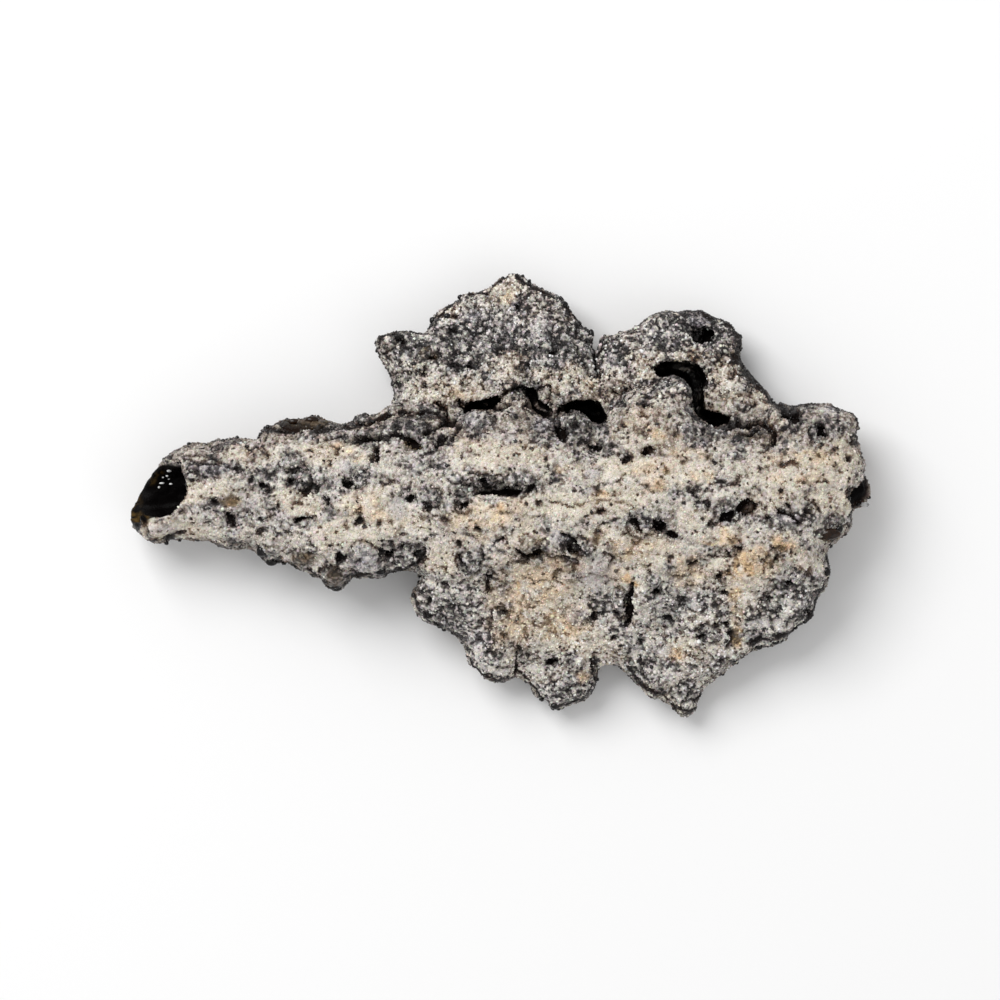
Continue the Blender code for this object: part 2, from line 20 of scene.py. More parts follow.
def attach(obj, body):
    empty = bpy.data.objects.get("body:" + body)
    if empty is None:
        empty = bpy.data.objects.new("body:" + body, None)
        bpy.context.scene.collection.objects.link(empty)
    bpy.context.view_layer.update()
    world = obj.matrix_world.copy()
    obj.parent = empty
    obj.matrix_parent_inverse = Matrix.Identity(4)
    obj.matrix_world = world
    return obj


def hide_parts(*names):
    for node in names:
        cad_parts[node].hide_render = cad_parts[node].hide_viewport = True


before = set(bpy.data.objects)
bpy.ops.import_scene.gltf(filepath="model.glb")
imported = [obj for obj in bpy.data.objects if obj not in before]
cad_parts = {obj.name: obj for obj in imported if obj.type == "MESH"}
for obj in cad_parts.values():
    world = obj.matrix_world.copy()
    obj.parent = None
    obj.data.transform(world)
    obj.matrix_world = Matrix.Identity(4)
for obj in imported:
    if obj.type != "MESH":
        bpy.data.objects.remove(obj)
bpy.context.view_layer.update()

bl_info = {
    "name": "Fulgurite",
    "version": (1, 0, 0),
    "blender": (4, 5, 0),
    "location": "View3D > Sidebar > Fulgurite",
    "description": "Dresses a fulgurite with a sandy crust, loose grains and dark glass",
    "category": "Add Mesh",
}

NODE = "fulgurite"
BODY = "root"
CRUST = "sand_crust"
MM = 0.001

# ---------------------------------------------------------------- places on the upper face
# All in millimetres. An ellipse is its middle in x and y and its half widths in x and y.

# Ellipses of pale creamy sand.
CREAM_PATCHES = (
    (-15.8, -1.0, 3.8, 1.5), (-19.3, -5.2, 3.7, 1.7), (-24.6, -1.3, 3.2, 1.7),
    (-30.7, 4.8, 3.7, 1.1), (-21.0, 5.2, 3.2, 1.5), (-0.2, 5.1, 6.1, 1.7), (7.1, -1.3, 5.5, 1.7),
    (12.5, 3.0, 4.0, 1.8), (17.4, 7.6, 3.4, 2.7), (19.3, 3.0, 6.1, 1.7), (35.9, 2.7, 7.1, 2.0),
    (40.6, 4.4, 2.7, 2.4), (14.4, -0.7, 3.7, 1.7), (13.0, -5.1, 4.2, 1.7), (18.1, -6.8, 4.1, 2.0),
    (28.6, -9.8, 3.4, 3.7), (7.1, -11.9, 4.1, 2.7), (4.6, -15.6, 3.7, 2.2), (-2.7, -2.7, 4.9, 1.2),
    (-7.6, -7.4, 2.4, 1.7), (-12.4, -3.1, 4.3, 1.5), (-39.3, -4.3, 3.9, 1.1),
    (-37.0, 0.6, 3.4, 1.2), (-41.7, -4.0, 2.2, 1.2), (-4.5, 6.0, 1.6, 1.0), (-8.0, 12.5, 3.2, 1.5),
    (7.1, 14.2, 3.2, 1.5), (12.0, 13.0, 3.4, 1.7), (17.8, 15.9, 2.4, 1.2), (27.1, 14.9, 2.2, 2.4),
    (29.6, 11.5, 3.2, 1.2), (25.4, 11.3, 2.0, 1.6), (10.1, -18.4, 4.4, 1.7),
    (13.4, -19.6, 1.6, 1.0), (1.0, 16.3, 2.2, 1.7), (-3.5, 12.5, 2.4, 1.7), (23.0, 16.6, 1.8, 1.2),
    (12.2, -9.4, 2.4, 1.8), (2.6, -5.0, 3.0, 1.2),
    (40.4, -0.9, 2.6, 1.5), (26.8, -5.2, 3.0, 1.3), (33.7, 8.3, 1.1, 0.9),
    (21.7, -19.2, 3.2, 1.2), (35.7, -8.2, 2.7, 1.2), (0.4, 24.9, 2.4, 1.2),
    (-6.3, 22.3, 1.7, 1.2), (22.9, -3.1, 2.7, 1.5), (32.7, -0.7, 3.4, 1.2),
)

# Ellipses of grey, half-melted sand.
GREY_PATCHES = (
    (45.0, 0.3, 1.1, 1.6),
    (-2.7, 19.1, 6.3, 3.7), (5.6, 17.8, 4.6, 3.2), (21.7, 19.5, 5.4, 2.4), (-10.0, 17.9, 2.7, 1.5),
    (10.7, 18.2, 1.5, 3.7), (-6.3, -14.1, 4.1, 4.4), (-1.7, -19.2, 2.9, 3.2),
    (8.3, -24.1, 3.7, 1.7), (19.5, -12.9, 2.5, 2.8), (18.7, -20.8, 4.1, 2.0),
    (22.9, -24.3, 1.5, 1.7), (35.4, -13.1, 4.1, 3.9), (31.5, -16.5, 3.4, 2.2),
    (-3.9, -0.1, 3.9, 2.0), (1.6, 0.8, 3.2, 1.1), (16.8, -3.4, 3.4, 1.7), (29.0, -1.9, 4.6, 1.6),
    (35.6, -3.4, 3.0, 1.5), (39.6, -3.2, 1.5, 1.1), (-11.5, -7.5, 3.2, 1.6), (-17.6, 1.8, 2.2, 1.5),
    (-23.2, 1.8, 2.4, 1.7), (-28.5, 2.7, 3.2, 1.7), (-32.9, 5.8, 3.4, 1.0), (-32.2, -2.6, 2.7, 1.2),
    (-24.4, -3.4, 2.2, 1.0), (-11.8, 7.5, 4.6, 1.3), (7.7, 7.9, 3.9, 2.2), (-3.3, 9.7, 2.0, 1.2),
    (23.6, 8.0, 4.6, 1.9), (35.1, 9.1, 3.7, 1.3), (40.3, 7.9, 2.2, 1.5), (5.2, -6.0, 3.8, 1.3),
    (-3.5, -8.0, 1.7, 1.8), (11.0, -13.5, 2.7, 2.9), (12.6, 12.1, 2.2, 1.5), (22.9, 13.0, 1.7, 1.2),
    (26.0, -12.9, 2.4, 1.7), (24.2, -8.0, 2.4, 1.2), (-21.0, 7.3, 3.6, 1.5),
    (-13.2, 12.6, 1.7, 2.0), (-3.4, 8.6, 2.4, 1.4), (-25.6, 3.7, 2.4, 1.6), (-36.0, -1.5, 2.2, 1.2),
    (-12.8, -0.5, 2.0, 1.2), (-8.2, 3.8, 2.0, 1.4), (31.6, 3.7, 1.8, 1.1), (14.6, -17.4, 2.0, 1.5),
    (13.8, 16.6, 1.8, 1.8), (10.4, 4.6, 1.8, 1.0), (-16.6, 6.6, 2.0, 1.4),
)

# Ellipses stained by iron, and the strength of each stain.
OCHRE_PATCHES = (
    (19.5, 3.4, 1.2, 1.2, 0.8), (18.2, 1.2, 1.5, 0.8, 0.7), (24.3, 2.1, 2.0, 0.8, 0.6),
    (7.3, 3.2, 0.8, 0.8, 1.0), (11.6, -0.1, 1.2, 0.7, 0.8), (15.0, -7.0, 1.4, 1.3, 0.8),
    (11.7, -5.8, 0.7, 0.6, 1.0),
    (1.2, -16.5, 2.6, 1.8, 0.5), (5.2, -7.0, 3.0, 2.0, 0.35), (14.0, -9.6, 2.4, 1.8, 0.4),
    (-0.7, -1.5, 1.5, 1.0, 1.0), (-2.3, -2.5, 1.3, 0.7, 0.8), (14.8, -10.1, 1.5, 1.0, 1.0),
    (16.3, -10.8, 0.6, 0.5, 2.0), (25.9, -5.8, 2.1, 0.9, 1.0), (29.6, -7.9, 1.1, 1.8, 1.1),
    (28.4, -12.6, 1.1, 3.7, 0.8), (33.8, -5.7, 1.7, 1.1, 1.0), (5.5, -17.9, 1.1, 0.7, 1.1),
    (10.7, 13.0, 1.1, 0.9, 0.8), (-8.8, 16.8, 1.1, 0.9, 0.7), (-5.7, 11.8, 1.3, 0.9, 0.7),
    (2.7, -11.3, 2.4, 1.8, 1.1), (4.2, -11.0, 4.6, 3.0, 0.55), (28.7, -17.4, 0.9, 1.7, 1.2),
    (-32.6, -0.9, 1.1, 0.9, 1.2),
    (-24.4, -7.7, 1.3, 0.9, 1.0), (-10.9, 5.9, 1.0, 0.6, 0.8), (20.6, 6.4, 0.9, 1.6, 0.9),
    (-16.6, -1.9, 3.2, 1.3, 0.5), (-19.3, 5.4, 1.5, 0.7, 0.6), (36.4, 4.2, 5.6, 1.3, 0.5),
    (21.2, -19.6, 1.1, 0.9, 0.8), (10.1, -22.1, 1.0, 0.7, 0.9), (22.9, 4.8, 2.4, 1.1, 0.5),
    (17.0, 3.0, 3.7, 1.1, 0.35), (7.1, -8.0, 2.7, 1.2, 0.5), (35.7, 2.0, 3.7, 1.0, 0.4),
    (0.4, 24.2, 1.1, 0.9, 0.6), (18.7, 7.6, 0.9, 0.7, 0.7), (-17.3, 4.8, 1.7, 0.6, 0.6),
    (7.6, -15.6, 3.8, 2.4, 0.6), (-0.6, -2.8, 4.8, 2.2, 0.55), (22.4, -9.4, 3.0, 2.0, 0.5),
    (31.0, -7.8, 2.6, 2.4, 0.55), (-3.0, 10.4, 1.4, 0.8, 0.5), (17.4, -6.4, 3.0, 1.4, 0.4),
    (1.4, -13.5, 3.4, 6.4, 0.5), (-3.4, -3.4, 2.8, 3.4, 0.45), (27.0, -5.4, 3.2, 1.2, 0.6),
)

# Elliptical hollows, painted with shade. The first few, DEEP_PITS of them, get the darkest painted
# shade.
PITS = (
    (24.4, 14.0, 1.0, 1.4), (20.0, 15.2, 1.3, 0.9), (28.1, 8.6, 1.1, 0.8), (24.9, 19.6, 2.4, 1.6),
    (38.9, 7.7, 1.0, 1.2),
    (-32.0, 3.0, 0.7, 0.6), (-28.9, 0.8, 0.9, 0.7), (-25.6, 2.0, 1.1, 0.9), (-24.0, 0.3, 1.1, 1.0),
    (-22.7, 0.9, 0.9, 0.9), (-24.4, -3.1, 1.0, 0.5), (-32.8, -3.1, 0.9, 1.0),
    (-30.7, 2.0, 0.6, 0.5), (-18.5, 1.3, 0.9, 0.7), (-17.3, -3.4, 0.9, 0.7),
    (-19.5, -7.4, 1.0, 1.0), (-13.9, -7.3, 1.2, 1.1), (-10.1, -7.5, 1.0, 1.0),
    (-12.1, -6.3, 0.7, 0.7), (-10.7, 6.0, 1.0, 0.6), (-7.4, 6.6, 1.0, 0.7), (-13.7, 6.6, 0.7, 0.5),
    (-11.0, -0.5, 0.6, 0.6), (-8.9, -1.4, 0.9, 0.9), (-4.8, -1.4, 1.1, 0.9), (-3.9, 0.8, 1.0, 0.6),
    (0.7, 0.4, 1.2, 0.5), (3.4, 0.9, 1.0, 0.7), (-2.2, 1.8, 1.0, 0.6), (7.1, 7.7, 1.0, 0.7),
    (8.9, 8.2, 0.9, 0.6), (11.5, 5.6, 0.6, 0.6), (13.4, 5.8, 0.7, 0.6), (14.9, 4.1, 0.7, 0.7),
    (17.7, 5.3, 1.0, 0.6), (16.3, -3.2, 1.5, 1.3), (19.2, -3.7, 1.3, 1.1), (20.7, -4.9, 0.7, 0.7),
    (23.4, 0.5, 1.2, 0.6), (24.9, -1.5, 0.7, 0.6), (27.2, -2.6, 1.1, 1.0), (29.4, -1.7, 1.1, 0.7),
    (25.0, -3.7, 0.6, 0.6), (35.0, 9.8, 1.6, 1.1), (-1.5, -9.7, 0.9, 0.6),
    (-5.1, -6.5, 0.7, 1.0), (3.7, -7.5, 1.6, 0.6), (8.5, -6.2, 1.0, 1.2), (7.8, -7.6, 0.7, 0.5),
    (13.8, -14.3, 0.6, 0.6), (11.3, -14.9, 0.9, 0.7), (26.8, -11.9, 0.7, 0.7),
    (26.4, -10.4, 0.7, 0.6), (33.3, -8.0, 0.7, 0.7), (25.9, -7.1, 0.6, 0.6), (27.2, -6.9, 0.6, 0.6),
    (28.3, -6.5, 0.9, 0.7), (29.3, -1.2, 0.7, 0.7), (18.7, -11.7, 1.0, 0.9),
    (21.7, -12.9, 0.9, 0.9), (20.3, -15.3, 0.9, 0.7), (24.2, -17.8, 0.9, 0.7),
    (27.8, -17.1, 0.7, 0.7), (42.5, 6.6, 0.5, 0.6), (42.0, 4.0, 0.4, 0.4), (40.4, 3.5, 0.5, 0.3),
    (33.4, 11.3, 0.7, 0.6), (-8.1, 16.8, 0.9, 0.7), (-5.6, 15.6, 0.9, 0.7), (-9.6, 13.1, 0.5, 0.5),
    (-3.9, 15.9, 0.7, 0.5), (-0.2, 17.0, 0.7, 1.2), (2.4, 12.7, 1.0, 0.6), (6.0, 17.4, 0.9, 0.6),
    (8.9, 20.1, 0.7, 0.7), (2.0, 23.0, 0.7, 0.6), (-6.3, 20.1, 0.7, 0.6), (16.8, 23.7, 0.5, 0.5),
    (7.1, 23.7, 0.7, 0.6), (-12.4, 18.8, 1.0, 0.6), (25.6, 19.3, 1.0, 0.7),
    (14.4, 12.5, 0.7, 0.5), (17.2, 10.9, 0.6, 0.5), (-2.7, -17.8, 1.0, 0.7),
    (-8.8, -12.9, 0.9, 0.7), (0.4, -14.1, 0.7, 0.7), (-7.0, -11.0, 0.6, 0.6),
    (2.2, -19.0, 0.6, 1.2), (6.0, -20.6, 0.7, 0.6), (8.3, -19.6, 0.7, 0.6), (13.2, -17.8, 0.6, 0.6),
    (16.8, -17.8, 0.7, 0.7), (19.9, -18.4, 0.7, 0.6), (32.7, -12.9, 0.9, 0.7),
    (35.1, -11.0, 0.9, 0.7), (37.0, -14.1, 0.7, 0.7), (32.1, -3.1, 1.0, 0.7),
    (34.5, -1.3, 0.7, 0.6), (37.3, -1.9, 1.1, 0.6), (4.6, -0.7, 0.7, 0.5), (12.0, -1.9, 0.6, 0.5),
    (10.2, -3.1, 0.6, 0.5), (-0.2, -5.6, 0.7, 0.6), (-2.9, -4.3, 0.6, 0.5), (-7.1, -3.1, 0.7, 0.6),
    (-14.8, -3.5, 0.6, 0.5), (-21.0, -0.7, 0.6, 0.6), (-27.1, -1.3, 0.7, 0.6),
    (-29.3, -3.1, 0.6, 0.5), (-35.0, -0.7, 0.6, 0.5), (-35.3, 3.0, 0.7, 0.6),
    (-38.1, 2.4, 0.6, 0.5), (-40.5, -5.6, 0.6, 0.4),
)

# Cracks between lumps, painted with shade: half width, depth, and the points that each runs
# through.
CREVICES = (
    (0.20, 0.7, (-27.0, 8.1), (-25.4, 7.9), (-23.8, 8.2), (-22.0, 8.0)),
    (0.16, 0.5, (-26.4, 8.9), (-24.9, 9.0), (-23.6, 8.7)),
    (0.24, 0.6, (-18.3, 8.6), (-16.3, 8.7), (-14.9, 9.3), (-13.1, 9.9)),
    (0.26, 0.7, (-12.4, 10.2), (-11.0, 10.1), (-9.6, 9.7)),
    (0.24, 0.9, (-7.9, 11.3), (-6.8, 10.3), (-6.6, 9.2)), (0.4, 1.0, (-7.2, 8.6), (-6.0, 9.1)),
    (0.28, 0.8, (-9.3, 7.4), (-8.1, 8.1), (-6.8, 8.6), (-5.2, 8.5)),
    (0.22, 0.5, (-5.1, 8.4), (-5.5, 7.5), (-6.1, 6.5)),
    (0.39, 1.2, (-17.8, 6.5), (-16.6, 6.8), (-14.9, 6.9)),
    (0.30, 0.7, (-13.5, 7.3), (-12.2, 7.1), (-11.0, 6.5)),
    (0.39, 1.0, (-11.2, 6.3), (-10.1, 5.9)), (0.23, 0.8, (-8.1, 5.7), (-7.4, 6.5), (-6.7, 7.1)),
    (0.17, 0.4, (-10.0, 4.7), (-8.5, 5.1)), (0.39, 1.0, (-15.4, 5.6), (-15.2, 4.3)),
    (0.30, 0.9, (-5.4, 11.4), (-4.4, 10.2), (-3.5, 10.7)), (0.34, 1.2, (-3.4, 10.6), (-2.2, 10.8)),
    (0.28, 1.2, (-1.7, 10.6), (-0.2, 10.4), (0.9, 11.0)),
    (0.15, 0.5, (-1.7, 11.0), (-0.4, 11.3), (1.0, 11.0)),
    (0.21, 0.9, (0.1, 12.0), (1.0, 12.6), (2.0, 13.0), (3.8, 12.6)),
    (0.34, 1.2, (3.8, 12.6), (4.1, 11.5), (3.2, 10.9)),
    (0.28, 1.1, (3.2, 11.0), (4.4, 10.1), (5.6, 9.2)),
    (0.29, 1.2, (5.9, 9.2), (7.1, 10.3), (8.5, 10.8)),
    (0.15, 0.5, (4.4, 12.9), (5.9, 13.4), (6.0, 12.5), (5.5, 11.0)),
    (0.15, 0.5, (5.4, 9.5), (4.8, 8.7), (3.7, 8.4)), (0.49, 1.1, (6.7, 8.6), (7.4, 6.9)),
    (0.22, 0.6, (10.7, 5.7), (12.0, 5.6)), (0.13, 0.3, (-3.9, 2.7), (-2.1, 2.4), (-0.2, 2.3)),
    (0.20, 0.5, (-2.2, 1.0), (-0.9, 0.9)), (0.30, 0.8, (0.4, 0.5), (1.9, 0.3)),
    (0.24, 0.5, (3.1, 0.5), (3.8, 0.8)),
    (0.27, 0.9, (7.2, -4.8), (8.1, -5.1), (8.9, -5.9), (9.6, -6.9)),
    (0.29, 1.0, (8.3, -6.6), (9.2, -7.3)),
    (0.23, 0.9, (1.7, -6.6), (2.7, -7.5), (4.0, -7.6), (4.6, -7.0)),
    (0.28, 0.9, (6.6, -7.6), (7.6, -7.7)), (0.16, 0.6, (9.3, -7.5), (10.5, -7.4), (11.3, -6.5)),
    (0.22, 0.9, (-5.4, -7.4), (-4.6, -8.5)), (0.21, 0.8, (-3.4, -9.6), (-2.6, -9.3)),
    (0.40, 1.0, (16.1, -3.2), (16.7, -4.2)),
    (0.13, 0.5, (15.4, -4.2), (15.9, -5.2), (16.6, -5.6), (17.6, -4.7)),
    (0.26, 0.8, (18.5, -3.2), (19.4, -4.2)), (0.15, 0.5, (21.2, 0.1), (22.7, 0.4), (24.0, -0.8)),
    (0.32, 1.0, (28.7, -1.8), (29.6, -0.9), (30.6, -1.4), (29.3, -2.3)),
    (0.44, 1.1, (26.8, -2.9), (27.8, -2.4)),
    (0.12, 0.4, (25.4, -3.6), (26.8, -4.0), (28.3, -3.2)),
    (0.17, 0.5, (24.6, 0.5), (25.6, 1.4), (27.0, 1.6)), (0.13, 0.4, (19.3, 3.8), (20.3, 2.6)),
    (0.56, 1.3, (34.6, 10.1), (35.9, 10.2), (35.5, 9.2)),
    (0.22, 0.8, (28.7, 7.4), (30.0, 7.3), (31.1, 7.9)),
    (0.34, 1.2, (32.2, 8.4), (32.7, 7.3), (33.0, 6.2)), (0.22, 0.9, (43.1, 7.7), (43.3, 6.9)),
    (0.27, 0.8, (33.4, -2.0), (35.1, -2.5), (36.0, -3.6)),
    (0.12, 0.5, (19.4, 19.2), (20.0, 18.1), (20.6, 17.6)),
    (0.23, 0.9, (13.5, 12.6), (14.6, 12.4), (15.7, 13.1)),
    (0.2, 0.9, (11.2, 16.9), (11.6, 15.4), (12.0, 14.0)),
    (0.17, 0.6, (9.2, 17.4), (9.9, 16.4), (10.5, 15.3)), (0.2, 0.6, (10.9, 20.6), (10.9, 18.7)),
    (0.13, 0.4, (2.3, 15.9), (3.0, 16.3), (3.7, 15.1), (3.4, 13.5)),
    (0.2, 0.6, (-9.5, 15.6), (-9.6, 14.5)), (0.27, 0.6, (-6.2, 22.3), (-5.6, 21.9)),
    (0.18, 1.0, (1.7, -19.2), (1.8, -20.4), (1.7, -21.8)),
    (0.21, 0.8, (10.9, -20.2), (11.2, -22.0), (11.3, -23.6)),
    (0.24, 0.9, (15.7, -10.9), (15.6, -12.9)), (0.49, 1.4, (15.4, -13.7), (15.4, -15.8)),
    (0.21, 0.8, (28.2, -16.9), (27.9, -17.8), (27.4, -18.7)),
    (0.24, 0.8, (26.1, -15.7), (27.6, -15.8)), (0.22, 0.6, (22.9, -8.6), (23.8, -8.1)),
    (0.16, 0.6, (24.9, -7.5), (26.4, -7.4), (27.4, -7.6), (28.5, -7.3)),
    (0.22, 0.5, (-1.6, -10.6), (-1.8, -12.0)),
    (0.20, 0.6, (-25.1, -3.3), (-24.0, -2.9), (-22.8, -2.7)),
    (0.22, 0.5, (-26.1, 2.9), (-24.6, 3.1)),
    (0.13, 0.4, (-23.3, -5.1), (-23.2, -6.0), (-22.6, -6.3)),
    (0.12, 0.4, (-36.8, -0.5), (-35.4, -0.5), (-34.3, -0.3)),
    (0.13, 0.4, (-38.6, 4.8), (-36.8, 4.7), (-35.4, 4.5), (-34.0, 3.8)),
    (0.13, 0.4, (-39.0, 4.3), (-37.3, 4.1), (-35.7, 3.7)),
    (0.16, 0.4, (-36.2, 3.7), (-34.4, 3.6), (-32.9, 3.2), (-31.8, 2.9)),
    (0.21, 0.7, (-26.6, 8.1), (-24.6, 8.2), (-21.6, 8.4)),
    (0.29, 0.7, (-33.3, -2.4), (-32.7, -3.1), (-32.6, -4.0)),
    (0.15, 0.4, (-21.5, 6.6), (-19.2, 7.1)),
    (0.16, 0.5, (-9.4, -6.5), (-9.2, -7.5), (-9.5, -8.2)),
    (0.15, 0.4, (5.7, -0.9), (7.2, -1.0), (8.7, -1.6)),
    (0.12, 0.35, (10.0, -0.9), (12.3, -0.7), (14.6, -0.9), (16.1, -1.6)),
    (0.16, 0.5, (32.0, 5.2), (31.2, 5.1)), (0.15, 0.5, (38.2, 1.5), (39.5, 1.5)),
    (0.15, 0.4, (36.7, -0.4), (38.2, -1.3), (38.7, -2.1)),
    (0.15, 0.4, (25.1, -19.2), (26.1, -20.2), (27.6, -19.7)),
    (0.15, 0.4, (22.9, -14.1), (21.2, -12.9), (20.3, -11.9)),
    (0.16, 0.5, (17.0, -19.7), (17.1, -21.2), (17.6, -22.6)),
    (0.15, 0.4, (-4.1, -16.5), (-2.7, -17.3), (-2.0, -18.4)),
    (0.15, 0.4, (31.1, -7.5), (31.8, -8.4), (31.7, -9.5)),
    (0.15, 0.5, (35.1, -6.6), (35.1, -7.5)),
    (0.75, 0.5, (42.4, 0.2), (44.5, 0.6), (44.3, -0.2), (43.2, -1.0)),
    (0.6, 0.2, (-44.6, -0.8), (-44.4, -2.0), (-43.9, -3.1)),
    (0.28, 0.4, (-27.1, 8.6), (-24.6, 8.4), (-22.4, 8.1)),
    (0.40, 1.5, (26.0, 8.2), (27.4, 8.0), (28.7, 8.9), (29.6, 8.3), (31.2, 8.9), (32.4, 8.3)),
)

# Ellipses of rounded lumps, most of them greyer and glassier than the sand about them.
LUMPS = (
    (33.7, 8.4, 0.9, 0.8), (-2.7, 9.0, 1.5, 1.2), (-17.7, 1.8, 1.5, 1.3),
    (3.2, -6.2, 1.6, 1.2), (6.2, -6.5, 1.2, 1.1),
    (9.9, -6.3, 1.3, 1.1), (-3.9, -8.1, 1.5, 1.3), (7.7, -9.7, 1.1, 0.9), (1.0, -9.0, 0.6, 0.7),
    (16.8, -3.7, 1.8, 1.7), (27.2, -2.5, 1.3, 1.1), (34.5, -3.1, 1.7, 1.1), (9.0, 8.1, 2.0, 1.6),
    (22.2, 13.1, 1.2, 1.0), (22.4, 7.5, 1.0, 1.0), (30.9, 7.7, 0.7, 0.7), (-16.7, -7.6, 1.8, 1.6),
    (-20.4, -9.9, 1.6, 1.2), (-24.3, -8.0, 1.6, 1.0), (-11.8, -8.0, 0.9, 0.7),
    (-10.4, -7.1, 1.0, 1.1), (-14.9, -9.3, 1.3, 0.9), (-28.1, -7.5, 1.1, 0.9),
    (-29.3, -6.8, 0.5, 0.6), (-21.0, -2.1, 0.9, 1.0), (-24.6, 2.0, 1.6, 1.2),
    (-29.3, 4.6, 1.1, 1.0), (-34.9, 3.0, 1.8, 0.7), (-8.8, -0.2, 1.7, 1.1),
    (-4.6, -1.6, 1.1, 0.9), (-6.7, -1.5, 0.9, 0.7), (-11.0, 8.1, 1.7, 1.0),
    (-8.7, 10.2, 1.1, 0.9), (-17.0, 9.6, 1.1, 0.6), (22.9, -16.9, 0.7, 0.7),
    (21.1, -16.2, 1.3, 0.6), (9.2, -14.8, 1.7, 1.3), (12.0, -11.7, 1.6, 1.6),
    (11.7, -8.2, 1.5, 1.1), (14.4, -13.1, 1.0, 1.5), (-14.3, 18.2, 1.1, 1.0),
    (28.1, -6.4, 1.0, 0.9), (33.4, -7.5, 1.2, 1.1), (18.4, -10.7, 1.1, 0.9),
    (21.5, -11.0, 1.2, 1.1), (4.6, 8.5, 1.1, 1.0), (0.7, 6.6, 0.7, 0.6), (2.2, 1.8, 1.7, 0.9),
    (-1.7, 1.5, 1.2, 0.7), (-5.7, 1.8, 0.7, 0.6), (12.0, 7.9, 0.9, 0.7), (16.8, 7.4, 0.7, 0.6),
    (11.0, 2.5, 1.2, 0.7), (24.2, -1.3, 0.9, 0.7), (43.2, 2.5, 0.7, 0.6),
    (39.4, -4.9, 1.2, 0.7), (38.8, 7.5, 1.1, 1.1), (26.0, 7.4, 1.5, 1.0), (29.0, 6.4, 1.1, 0.9),
    (24.2, 5.9, 1.1, 0.9), (37.6, -1.9, 1.1, 1.0), (41.0, -3.1, 1.1, 0.9),
    (38.2, -11.0, 1.1, 1.2), (35.7, -9.8, 1.1, 0.9), (32.7, -12.9, 1.2, 1.1),
    (35.1, -14.3, 1.1, 1.0), (30.3, -14.7, 1.1, 1.0), (26.6, -13.7, 1.0, 0.9),
    (25.4, -16.8, 1.2, 1.0), (24.2, -19.6, 1.1, 0.9), (26.0, -20.8, 1.0, 0.9),
    (19.9, -19.6, 1.1, 1.0), (18.1, -21.7, 1.0, 1.0), (21.7, -23.9, 1.2, 1.0),
    (22.9, -25.7, 0.9, 0.7), (19.5, -23.9, 1.0, 0.7), (16.2, -17.8, 1.0, 0.9),
    (14.4, -18.4, 1.0, 0.9), (12.0, -19.0, 0.9, 0.9), (8.9, -20.8, 1.1, 1.0),
    (7.1, -23.9, 1.1, 1.0), (9.5, -24.1, 1.0, 0.9), (5.2, -24.2, 1.0, 0.9),
    (6.5, -25.7, 0.7, 0.5), (-1.5, -20.8, 1.1, 1.1), (0.1, -22.0, 1.1, 0.9),
    (-2.9, -19.0, 1.0, 1.0), (-0.9, -17.8, 1.1, 1.0), (-3.9, -15.3, 1.2, 1.0),
    (-6.3, -14.3, 1.1, 1.1), (-7.6, -11.7, 1.1, 1.0), (-9.4, -11.4, 1.0, 1.1),
    (-8.8, -13.8, 1.0, 0.9), (-5.7, -12.3, 1.0, 0.9), (-2.7, -12.5, 1.1, 1.0),
    (-10.0, -9.5, 1.0, 0.7), (-7.8, -9.6, 1.0, 0.7), (-0.2, -14.7, 1.0, 0.9),
    (2.2, -15.9, 1.1, 0.9), (1.2, -17.8, 1.0, 0.9), (3.4, -12.9, 0.9, 0.7),
    (5.2, -11.0, 1.0, 0.7), (7.7, 17.6, 1.1, 1.0), (5.0, 18.8, 1.1, 1.0), (2.2, 18.2, 1.1, 0.9),
    (-0.5, 19.5, 1.1, 1.0), (-3.3, 20.7, 1.1, 1.0), (-5.4, 19.8, 1.1, 1.0),
    (-3.9, 17.6, 1.1, 0.9), (-6.7, 17.6, 1.1, 1.0), (-8.5, 18.5, 1.2, 0.9),
    (-11.2, 18.6, 1.1, 0.9), (-12.4, 19.5, 1.0, 0.7), (-7.0, 16.2, 1.0, 0.7),
    (-2.7, 24.3, 1.1, 0.9), (-4.5, 23.7, 1.1, 0.9), (-0.2, 23.7, 1.1, 0.9), (2.2, 24.9, 1.0, 1.0),
    (4.6, 23.7, 1.1, 0.9), (2.8, 22.9, 1.2, 0.9), (6.1, 22.3, 1.1, 0.9), (8.9, 21.3, 1.1, 0.9),
    (7.3, 20.1, 1.1, 1.0), (10.1, 19.5, 0.9, 0.9), (10.7, 17.6, 0.7, 0.9), (8.5, 16.2, 1.1, 1.0),
    (12.0, 18.8, 0.7, 0.6), (13.8, 18.2, 0.9, 0.7), (16.8, 20.7, 1.1, 0.9),
    (19.3, 21.3, 1.1, 0.9), (18.7, 22.8, 0.9, 0.7), (22.9, 21.9, 1.1, 0.7),
    (27.2, 20.7, 1.1, 1.1), (28.2, 18.2, 0.7, 1.0), (20.5, 18.2, 1.1, 0.9),
    (18.1, 17.6, 1.1, 0.9), (15.0, 16.4, 1.1, 1.0), (13.2, 14.6, 1.0, 1.0),
    (22.9, 18.2, 1.0, 0.9), (25.4, 17.0, 1.1, 1.0), (27.2, 14.9, 1.1, 1.0),
    (29.0, 13.4, 1.1, 0.9), (26.6, 12.1, 1.1, 0.9), (29.6, 11.3, 1.1, 0.9),
    (25.9, 11.3, 1.2, 1.0), (19.3, 13.4, 1.1, 0.9),
)

